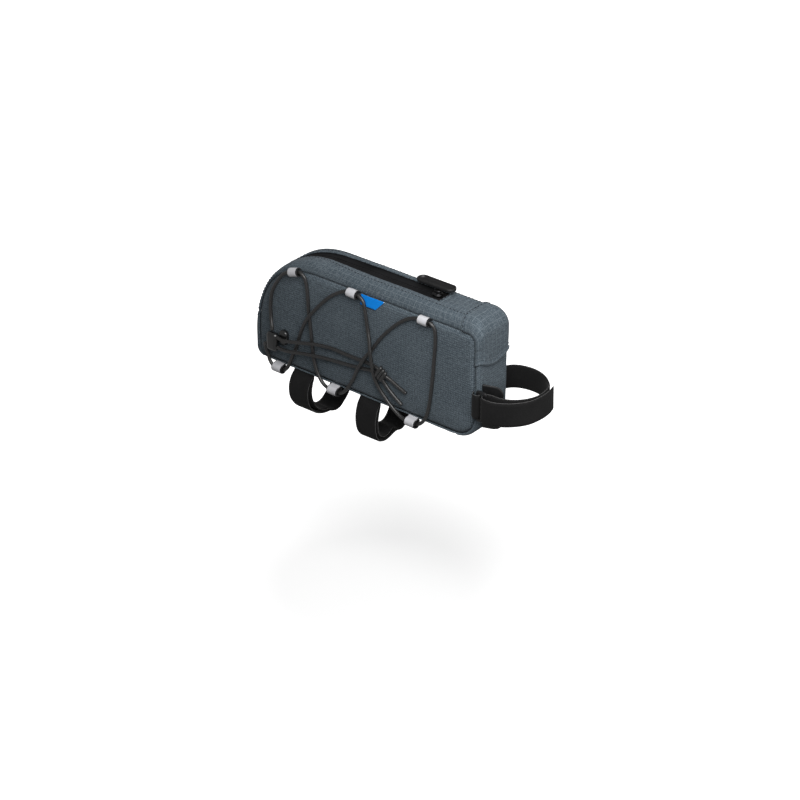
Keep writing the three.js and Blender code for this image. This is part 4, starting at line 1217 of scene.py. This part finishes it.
# %% [markdown]
# The slider is a small plated casting and the puller a long moulded strip that hangs from its
# bridge. The puller has a raised rim and a sunk face, so it is built in levels that climb over
# the rim and go down again inside it.

# %% Slider and puller
def make_metal():
    plated = Finish("plated_slider_metal")
    worn = plated.noise(plated.place(), 300.0, 4.0, 0.6)
    color = plated.ramp(worn, [(0.35, (0.016, 0.016, 0.017)), (0.7, (0.08, 0.08, 0.084))])
    plated.set(base_color=color, roughness=0.30 + worn * 0.2)
    plated.set(metallic=1.0)
    plated.bump(worn, 0.25, 0.0001)
    return plated.material


slider_metal = make_metal()


SLIDER_X, SLIDER_HEIGHT, SLIDER_LEVELS = 0.071, 0.0062, [
    (0.0, 0.0006), (0.0002, 0.0002), (0.0005, 0.0), (0.0016, 0.0), (0.0021, 0.0001), (0.0024, 0.0006),
    (0.0029, 0.0016), (0.0034, 0.0018), (0.0044, 0.0018), (0.0052, 0.0019), (0.0058, 0.0022),
    (0.0062, 0.0028),
]
PULLER_LENGTH, PULLER_Y, PULLER_LEVELS = 0.043, 0.0054, [
    (0.0, 0.0006), (0.00018, 0.00018), (0.0006, 0.0), (0.0024, 0.0), (0.0029, 0.0001), (0.0032, 0.0006),
    (0.0032, 0.0010), (0.0030, 0.0013), (0.0022, 0.0016), (0.0012, 0.0021), (0.0008, 0.0032),
    (0.0007, 0.0045),
]


def slider_and_puller():
    deck = TOP_Z - 0.0016
    slider = moulded_block("slider_body", 0.011, 0.009, 0.0042, SLIDER_LEVELS,
                           lambda a, b, h: Vector((SLIDER_X + a, b, deck + h)))
    finish_piece(slider, slider_metal, ["zip_slider"])
    low = deck + SLIDER_HEIGHT + 0.0005
    middle = SLIDER_X + 0.016 - PULLER_LENGTH / 2
    puller = moulded_block("puller_strip", PULLER_LENGTH, 0.012, 0.0059, PULLER_LEVELS,
                           lambda a, b, h: Vector((middle + a, PULLER_Y + b, low + h)), sides=16)
    finish_piece(puller, soft_rubber, ["zip_puller"])
    return slider, puller


slider, puller = slider_and_puller()
print("puller", [round(v * 1000, 1) for v in puller.dimensions])

# %% [markdown]
# The six cord loops are short lengths of webbing folded round the cord and sewn into the seams.
# A pale reflective film covers the middle of each, and the webbing's black selvedges show at
# both ends. The film is a coat on the same strip, placed by the distance across it.

# %% Cord loops
FILM_MIDDLE, FILM_HALF = 0.0062, 0.0053


def make_reflective_webbing():
    band = Finish("reflective_loop_webbing")
    uv = band.place("UV")
    across, along, _ = band.parts(uv)
    weave = (along * (FULL_TURN / 0.0009)).sine() * 0.5 + 0.5
    beads = band.noise(band.scaled(uv, (2600, 2600, 1)), 1.0, 2.0, 0.5)
    smudge = band.noise(band.place(), 160.0, 3.0, 0.6)
    ragged = (across - FILM_MIDDLE + (beads - 0.5) * 0.0002).size()
    film = 1 - ragged.over(FILM_HALF)
    black = band.ramp(weave * 0.4 + smudge * 0.5, [
        (0.2, (0.006, 0.006, 0.007)), (0.9, (0.024, 0.024, 0.026)),
    ])
    silver = band.ramp((smudge * 0.8 + beads * 0.2).limit(), [
        (0.3, (0.58, 0.58, 0.605)), (0.7, (0.70, 0.70, 0.73)),
    ])
    band.set(base_color=band.mix(film, black, silver), roughness=0.85 - film * 0.42)
    band.bump(weave * (1 - film) + beads * 0.15 + film * 0.8, 0.5, 0.00022)
    return band.material


reflective_webbing = make_reflective_webbing()
LOOP_LENGTH, LOOP_RADIUS = 0.013, 0.0039
LAP_GAP, LOOP_OUT = 0.0003, 0.0045
LOOP_PLACES = {
    "loop_top_rear": (0.207, True, 0.0015, 18), "loop_top_mid": (0.4689, True, 0.0005, 0),
    "loop_top_front": (0.7806, True, 0.0005, 0), "loop_base_rear": (0.1245, False, 0.0049, 0),
    "loop_base_mid": (0.381, False, 0.0049, 0), "loop_base_front": (0.7289, False, 0.0049, 0),
}


def cord_loop(name, along, top, drop, tilt):
    root = SEAM["high"] if top else SEAM["low"]
    centre = Vector((lerp(REAR_X, FRONT_X, along), -(HALF_WIDTH + LAP_GAP + LOOP_OUT), root - drop))
    lean = math.atan2(drop, LOOP_OUT)
    route = [Vector((0, 0.0042, drop - 0.0002))]
    for k in range(15):
        angle = lean + math.radians(42 + 280 * k / 14)
        route.append(Vector((0, LOOP_RADIUS * math.cos(angle), LOOP_RADIUS * math.sin(angle))))
    route.append(Vector((0, 0.0042, drop - 0.0016)))
    path, total = smooth_path(route, 70)
    turn = Matrix.Rotation(-math.radians(tilt), 3, "Y")
    path = [centre + turn @ p for p in path]
    piece = ribbon(f"{name}_webbing", path, total, turn @ Vector((1, 0, 0)), LOOP_LENGTH, 0.0011,
                   seed=along * 31, waver=0.00012, material=reflective_webbing, nodes=[name], back_shift=1.0)
    return piece


cord_loops = [cord_loop(name, *place) for name, place in LOOP_PLACES.items()]
print("cord loops", len(cord_loops))

# %% [markdown]
# The tag is a short woven label folded in two and sewn into the top seam. It is left bare. Its
# slanted front end shows the label's white edge.

# %% Seam tag
def make_tag_cloth():
    woven = Finish("blue_tag_weave")
    uv = woven.place("UV")
    across, along, _ = woven.parts(uv)
    ribs = (along * (FULL_TURN / 0.00045)).sine() * 0.5 + 0.5
    yarn = (across * (FULL_TURN / 0.00035)).sine() * 0.5 + 0.5
    fluff = woven.noise(woven.scaled(uv, (2600, 2600, 1)), 1.0, 2.0, 0.5)
    tone = (ribs * 0.35 + yarn * 0.25 + fluff * 0.4).limit()
    blue = woven.ramp(tone, [(0.2, (0.003, 0.19, 0.66)), (0.8, (0.007, 0.29, 0.93))])
    slant = across * 0.743 - along * -0.669
    edge = slant.over(0.743 * 0.0288 - 0.0011 * 1.2)
    color = woven.mix(edge, blue, (0.72, 0.76, 0.82))
    woven.set(base_color=color, roughness=0.68 + fluff * 0.12)
    woven.set(specular_ior_level=0.15)
    woven.bump(ribs * 0.5 + yarn * 0.4 + fluff * 0.4, 0.5, 0.00012)
    return woven.material


tag_cloth = make_tag_cloth()


def seam_tag():
    length, height, bevel, thick = 0.028, 0.010, 0.009, 0.0008
    lean = math.radians(12)
    rows, columns = 16, 34
    outer, inner, uv_rows = [], [], []
    for i in range(rows + 1):
        down = height * i / rows
        row_out, row_in, row_uv = [], [], []
        for j in range(columns + 1):
            k = j / columns
            x = lerp(0.0010 * down / height, length - bevel * down / height, k)
            curl = 0.0009 * k * k * (down / height) + 0.0003 * math.sin(3.2 * k + 0.6)
            edge = min(down + 0.001, height - down, x + 0.0002, (length - bevel * down / height) - x)
            round_off = 0.00028 * (1 - min(1.0, edge / 0.0005)) ** 2
            for row, depth in ((row_out, thick / 2 - round_off), (row_in, -thick / 2 + round_off)):
                out = -(depth + 0.0004 + curl * 0.6)
                y = -(HALF_WIDTH + LAP_GAP) + out * math.cos(lean) - down * math.sin(lean)
                z = SEAM["high"] - down * math.cos(lean) + out * math.sin(lean)
                row.append(Vector((x - 0.0012, y, z)))
            row_uv.append((x, -down))
        outer.append(row_out)
        inner.append(row_in)
        uv_rows.append(row_uv)
    piece = cloth_wall("tag_label", outer, inner, uv_rows)
    return finish_piece(piece, tag_cloth, ["seam_tag"])


tag = seam_tag()
print("tag", [round(v * 1000, 1) for v in tag.dimensions])

# %% [markdown]
# At the front the strap for the head tube is sewn round the bar of a slotted ring, and a
# reinforced flap stands out from the front panel between them. The ring is moulded, with soft
# edges, and the flap is a rubbery sheet with rounded edges; its stitched border isn't drawn.

# %% Ring and flap
def slotted_ring():
    bar, slot, thick, width = 0.0032, 0.0048, 0.0024, 0.0118
    height = WEBBING_WIDTH + 2 * (LAP_GAP + bar)
    middle = Vector((SEAM["front"] + 0.0101, -0.0244, RING_LOW_Z + WEBBING_WIDTH / 2))
    sections, corner, bend = 12, 6, 0.0008
    half_bar = (width - slot) / 4
    cx, cz = width / 2 - half_bar, height / 2 - bar / 2
    centre_line = []
    for (sx, sz), start in (((1, -1), -90), ((1, 1), 0), ((-1, 1), 90), ((-1, -1), 180)):
        for k in range(corner + 1):
            angle = math.radians(start + 90 * k / corner)
            out = Vector((math.cos(angle), math.sin(angle)))
            centre_line.append((Vector((sx * (cx - bend), sz * (cz - bend))) + out * bend, out))
    points = []
    for centre, out in centre_line:
        wide = lerp(half_bar, bar / 2, abs(out.y))
        for k in range(sections):
            angle = FULL_TURN * k / sections
            c, s = math.cos(angle), math.sin(angle)
            across = math.copysign(abs(c) ** 0.55, c) * wide
            deep = math.copysign(abs(s) ** 0.55, s) * thick / 2
            flat = centre + out * across
            points.append(middle + Vector((flat.x, deep, flat.y)))
    count = len(centre_line)
    faces = []
    for i in range(count):
        j = (i + 1) % count
        for k in range(sections):
            m = (k + 1) % sections
            faces.append((i * sections + k, j * sections + k, j * sections + m, i * sections + m))
    piece = mesh_object("slotted_ring", points, faces)
    fix_normals(piece)
    return finish_piece(piece, soft_rubber, ["slot_ring"])


def ring_flap():
    length, height, corner, low, thick = 0.020, 0.045, 0.009, 0.0155, 0.0016
    turn = math.radians(17)
    start = Vector((FRONT_X + LAP_GAP, -0.0156 - thick / 2, low))
    rows, columns = 40, 24
    outer, inner, uv_rows = [], [], []
    for i in range(rows + 1):
        z = height * i / rows
        reach = length
        from_corner = min(z, height - z)
        if from_corner < corner:
            reach = length - corner + math.sqrt(max(0.0, corner ** 2 - (corner - from_corner) ** 2))
        row_out, row_in, row_uv = [], [], []
        for j in range(columns + 1):
            k = j / columns
            x = reach * (0.5 - 0.5 * math.cos(math.pi * k)) * 0.5 + reach * k * 0.5
            edge = min(reach - x, z, height - z)
            round_off = 0.0005 * (1 - min(1.0, edge / 0.0009)) ** 2
            bend = 0.0016 * (x / length) ** 2 - 0.0008 * math.sin(math.pi * z / height) * (x / length)
            for row, depth in ((row_out, thick / 2 - round_off), (row_in, -thick / 2 + round_off)):
                y = -depth + bend
                row.append(start + Vector((x * math.cos(turn) - y * math.sin(turn),
                                           x * math.sin(turn) + y * math.cos(turn), z)))
            row_uv.append((x, z))
        outer.append(row_out)
        inner.append(row_in)
        uv_rows.append(row_uv)
    piece = cloth_wall("flap_sheet", outer, inner, uv_rows)
    return finish_piece(piece, soft_rubber, ["ring_flap"])


ring = slotted_ring()
flap = ring_flap()
print("ring and flap", ring.name, flap.name)

# %% [markdown]
# Stitches. A row of stitches is the plainest thing that repeats, so Geometry Nodes make it. The
# input is a line of points that lie on the cloth, each with the cloth's outward direction kept
# in the attribute `out`. The tree walks that line in steps of one stitch, sets a small rounded
# thread on every step, turned along the line, and wavers its size a little with a fixed seed.

# %% Stitch tree
def make_thread(name, dark, pale):
    thread = Finish(name)
    twist = thread.noise(thread.place(), 2400.0, 2.0, 0.5)
    thread.set(base_color=thread.ramp(twist, [(0.35, dark), (0.65, pale)]), roughness=0.6 + twist * 0.2)
    thread.bump(twist, 0.3, 0.00005)
    return thread.material


dark_thread = make_thread("dark_sewing_thread", (0.006, 0.008, 0.012), (0.022, 0.026, 0.034))
grey_thread = make_thread("grey_sewing_thread", (0.060, 0.075, 0.088), (0.13, 0.155, 0.175))


def stitch_tree():
    tree = bpy.data.node_groups.new("stitch_row", "GeometryNodeTree")
    tree.is_modifier = True
    face = tree.interface
    face.new_socket("Geometry", in_out="INPUT", socket_type="NodeSocketGeometry")
    for label, kind in (("Pitch", "Float"), ("Stitch Length", "Float"), ("Thread Thickness", "Float"),
                        ("Seed", "Int"), ("Thread", "Material")):
        face.new_socket(label, in_out="INPUT", socket_type=f"NodeSocket{kind}")
    face.new_socket("Geometry", in_out="OUTPUT", socket_type="NodeSocketGeometry")

    def add(kind, **options):
        made = tree.nodes.new(kind)
        for key, value in options.items():
            setattr(made, key, value)
        return made

    def link(a, out, b, into):
        tree.links.new(a.outputs[out], b.inputs[into])

    start, end = add("NodeGroupInput"), add("NodeGroupOutput")
    line = add("GeometryNodeMeshToCurve")
    steps = add("GeometryNodeResampleCurve", mode="LENGTH")
    tangent = add("GeometryNodeInputTangent")
    outward = add("GeometryNodeInputNamedAttribute", data_type="FLOAT_VECTOR")
    outward.inputs["Name"].default_value = "out"
    turn_along = add("FunctionNodeAlignRotationToVector", axis="X")
    turn_out = add("FunctionNodeAlignRotationToVector", axis="Z", pivot_axis="X")
    thread = add("GeometryNodeMeshIcoSphere")
    thread.inputs["Radius"].default_value = 0.5
    thread.inputs["Subdivisions"].default_value = 2
    chance = add("FunctionNodeRandomValue", data_type="FLOAT")
    chance.inputs[2].default_value = 0.88
    chance.inputs[3].default_value = 1.08
    size = add("ShaderNodeCombineXYZ")
    vary = add("ShaderNodeVectorMath", operation="SCALE")
    sew = add("GeometryNodeInstanceOnPoints")
    real = add("GeometryNodeRealizeInstances")
    smooth = add("GeometryNodeSetShadeSmooth")
    paint = add("GeometryNodeSetMaterial")
    link(start, "Geometry", line, 0)
    link(line, 0, steps, "Curve")
    link(start, "Pitch", steps, "Length")
    link(tangent, 0, turn_along, "Vector")
    link(turn_along, 0, turn_out, "Rotation")
    link(outward, 0, turn_out, "Vector")
    link(start, "Stitch Length", size, 0)
    link(start, "Thread Thickness", size, 1)
    link(start, "Thread Thickness", size, 2)
    link(size, 0, vary, 0)
    link(start, "Seed", chance, "Seed")
    link(chance, 1, vary, "Scale")
    link(steps, 0, sew, "Points")
    link(thread, 0, sew, "Instance")
    link(turn_out, 0, sew, "Rotation")
    link(vary, 0, sew, "Scale")
    link(sew, 0, real, 0)
    link(real, 0, smooth, 0)
    link(smooth, 0, paint, 0)
    link(start, "Thread", paint, "Material")
    link(paint, 0, end, 0)
    return tree


sewing = stitch_tree()
SEWING_INPUTS = {item.name: item.identifier for item in sewing.interface.items_tree if item.in_out == "INPUT"}
print("stitch tree with inputs", sorted(SEWING_INPUTS))

# %% [markdown]
# `stitch` drops a line of points on a panel's real surface, so the threads follow its puckers,
# and runs the tree. The lines themselves are places on the gusset: beside the zip, across the
# hood's two edges, along the tab and round the rear.

# %% Rows of stitches
def stitch(name, panel, spots, thread=dark_thread, pitch=0.0040, length=0.0027, thick=0.00085,
           lift=0.00008, seed=3):
    surface = BVHTree.FromObject(panel, bpy.context.evaluated_depsgraph_get())
    points, outs = [], []
    for spot in spots:
        found, normal, _, _ = surface.find_nearest(Vector(spot))
        points.append(found + normal * lift)
        outs.append(normal)
    mesh = bpy.data.meshes.new(name)
    mesh.from_pydata([tuple(p) for p in points], [(i, i + 1) for i in range(len(points) - 1)], [])
    attribute = mesh.attributes.new("out", "FLOAT_VECTOR", "POINT")
    for item, out in zip(attribute.data, outs):
        item.vector = out
    row = bpy.data.objects.new(name, mesh)
    scene.collection.objects.link(row)
    sewn = row.modifiers.new("stitches", "NODES")
    sewn.node_group = sewing
    values = {"Pitch": pitch, "Stitch Length": length, "Thread Thickness": thick, "Seed": seed,
              "Thread": thread}
    for label, value in values.items():
        sewn[SEWING_INPUTS[label]] = value
    apply_modifiers(row)
    return finish_piece(row, thread)


def zip_line(side, extra):
    rows = stretch("top", top_t(HOOD_REAR_X - 0.001), 1, 120) + stretch("rear_curve", 0, 0.80, 80, False)
    return [gusset_point(segment, t, side * zip_half_v(segment, t, extra)) for segment, t in rows]


def across_line(segment, t_of_v, reach=0.97, count=60):
    """A line across the gusset, 3 mm outside it, so that the nearest cloth is its outer face."""
    spots = []
    for i in range(count + 1):
        v = lerp(-reach, reach, i / count)
        spots.append(gusset_point(segment, t_of_v(v), v) + gusset_normal(segment, t_of_v(v), v) * 0.003)
    return spots


near_strip, far_strip, tab, hood_piece, _, _, rear_piece = gusset
ZIP_STITCH_OFF = 0.0034
hood_rear_line = across_line("top", lambda v: top_t(HOOD_REAR_X + 0.0026))
hood_hem_line = across_line("front", lambda v: hood_edge_t(v, 0.0028), 0.95)
hood_upper_line = across_line("front", lambda v: hood_edge_t(v, 0.0062), 0.95)
tab_line = across_line("top", lambda v: top_t(ZIP_FRONT_X + 0.0025), 0.36, 20)
rear_curve_line = [gusset_point("rear_curve", lerp(0.50, 0.84, i / 30), -0.74) for i in range(31)]
rear_top_line = across_line("rear_curve", lambda v: STRIP_END_AT + 0.03, 0.9)
rows_of_stitches = [
    stitch("stitches_zip_near", near_strip, zip_line(-1, ZIP_STITCH_OFF)),
    stitch("stitches_zip_far", far_strip, zip_line(1, ZIP_STITCH_OFF)),
    stitch("stitches_hood_rear", hood_piece, hood_rear_line),
    stitch("stitches_hood_hem", hood_piece, hood_hem_line, grey_thread),
    stitch("stitches_hood_hem_upper", hood_piece, hood_upper_line, grey_thread),
    stitch("stitches_tab_end", tab, tab_line),
    stitch("stitches_rear_near", near_strip, rear_curve_line),
    stitch("stitches_rear_top", rear_piece, rear_top_line),
]
print("rows of stitches", {row.name: len(row.data.polygons) for row in rows_of_stitches})

# %% [markdown]
# The stage is a white floor far enough below the bag that only a soft shadow shows. It glows so
# that it stays pure white, and its glow is dimmed under the bag, a painted shadow over the real one.
# A grey card just below it, which the camera doesn't see, gives the cloth the little light that a
# floor throws back. A small key light, a wide fill from the front, another from behind and a pale
# sky give the even light of a product picture.

# %% Stage and light
def flat_square(name, half_side, z):
    points = [Vector((x * half_side, y * half_side, z)) for x, y in ((-1, -1), (1, -1), (1, 1), (-1, 1))]
    return mesh_object(name, points, [(0, 1, 2, 3)], smooth=False)


FLOOR_Z, FLOOR_HALF_SIDE = -0.225, 6.0
# Painted shadow in the floor's glow: dim near the middle, under the bag, and white further out.
PAINTED_SHADOW_GLOW_STOPS = [(0.12, (0.30, 0.30, 0.30)), (0.45, (1.0, 1.0, 1.0))]
BAG_MIDDLE = (0, 0, 0.05)


def plain_stage():
    pale = Finish("pale_floor_painted_shadow")
    across, deep, _ = pale.parts(pale.place())
    away = (across * across + deep * deep) ** 0.5
    # Painted shadow: the glow is 0.3 under the bag and rises to full white about 0.36 m away.
    glow_with_painted_shadow = pale.ramp((away * 1.25).limit(), PAINTED_SHADOW_GLOW_STOPS)
    pale.set(base_color=(0.92, 0.92, 0.92), roughness=0.9, emission_color=glow_with_painted_shadow)
    pale.set(emission_strength=1.0)
    floor = flat_square("floor", FLOOR_HALF_SIDE, FLOOR_Z)
    floor.data.materials.append(pale.material)
    floor.visible_diffuse = False
    floor.visible_glossy = False
    card_grey = Finish("grey_card")
    card_grey.set(base_color=(0.12, 0.12, 0.12), roughness=0.9)
    card = flat_square("grey_card", FLOOR_HALF_SIDE, FLOOR_Z - 0.001)
    card.data.materials.append(card_grey.material)
    card.visible_camera = False
    card.visible_glossy = False


def area_light(name, place, target, size, power):
    data = bpy.data.lights.new(name, "AREA")
    data.size = size
    data.energy = power
    light = bpy.data.objects.new(name, data)
    light.location = place
    light.rotation_euler = (Vector(place) - Vector(target)).to_track_quat("Z", "Y").to_euler()
    scene.collection.objects.link(light)
    return light


def sky(strength):
    world = scene.world or bpy.data.worlds.new("pale_sky")
    scene.world = world
    world.use_nodes = True
    background = world.node_tree.nodes["Background"]
    background.inputs[0].default_value = (1.0, 1.0, 1.0, 1)
    background.inputs[1].default_value = strength


plain_stage()
scene.view_settings.view_transform = "Standard"
area_light("key_soft_light", (0.28, -0.27, 0.44), (0.04, 0, 0.05), 0.32, 2.2)
area_light("front_fill_light", (1.1, -0.05, 0.45), (0.1, 0, 0.05), 1.0, 4.2)
back_fill = area_light("back_fill_light", (-0.9, 0.9, 0.75), BAG_MIDDLE, 1.0, 5)
back_fill.visible_glossy = False
sky(0.27)
print("stage ready")
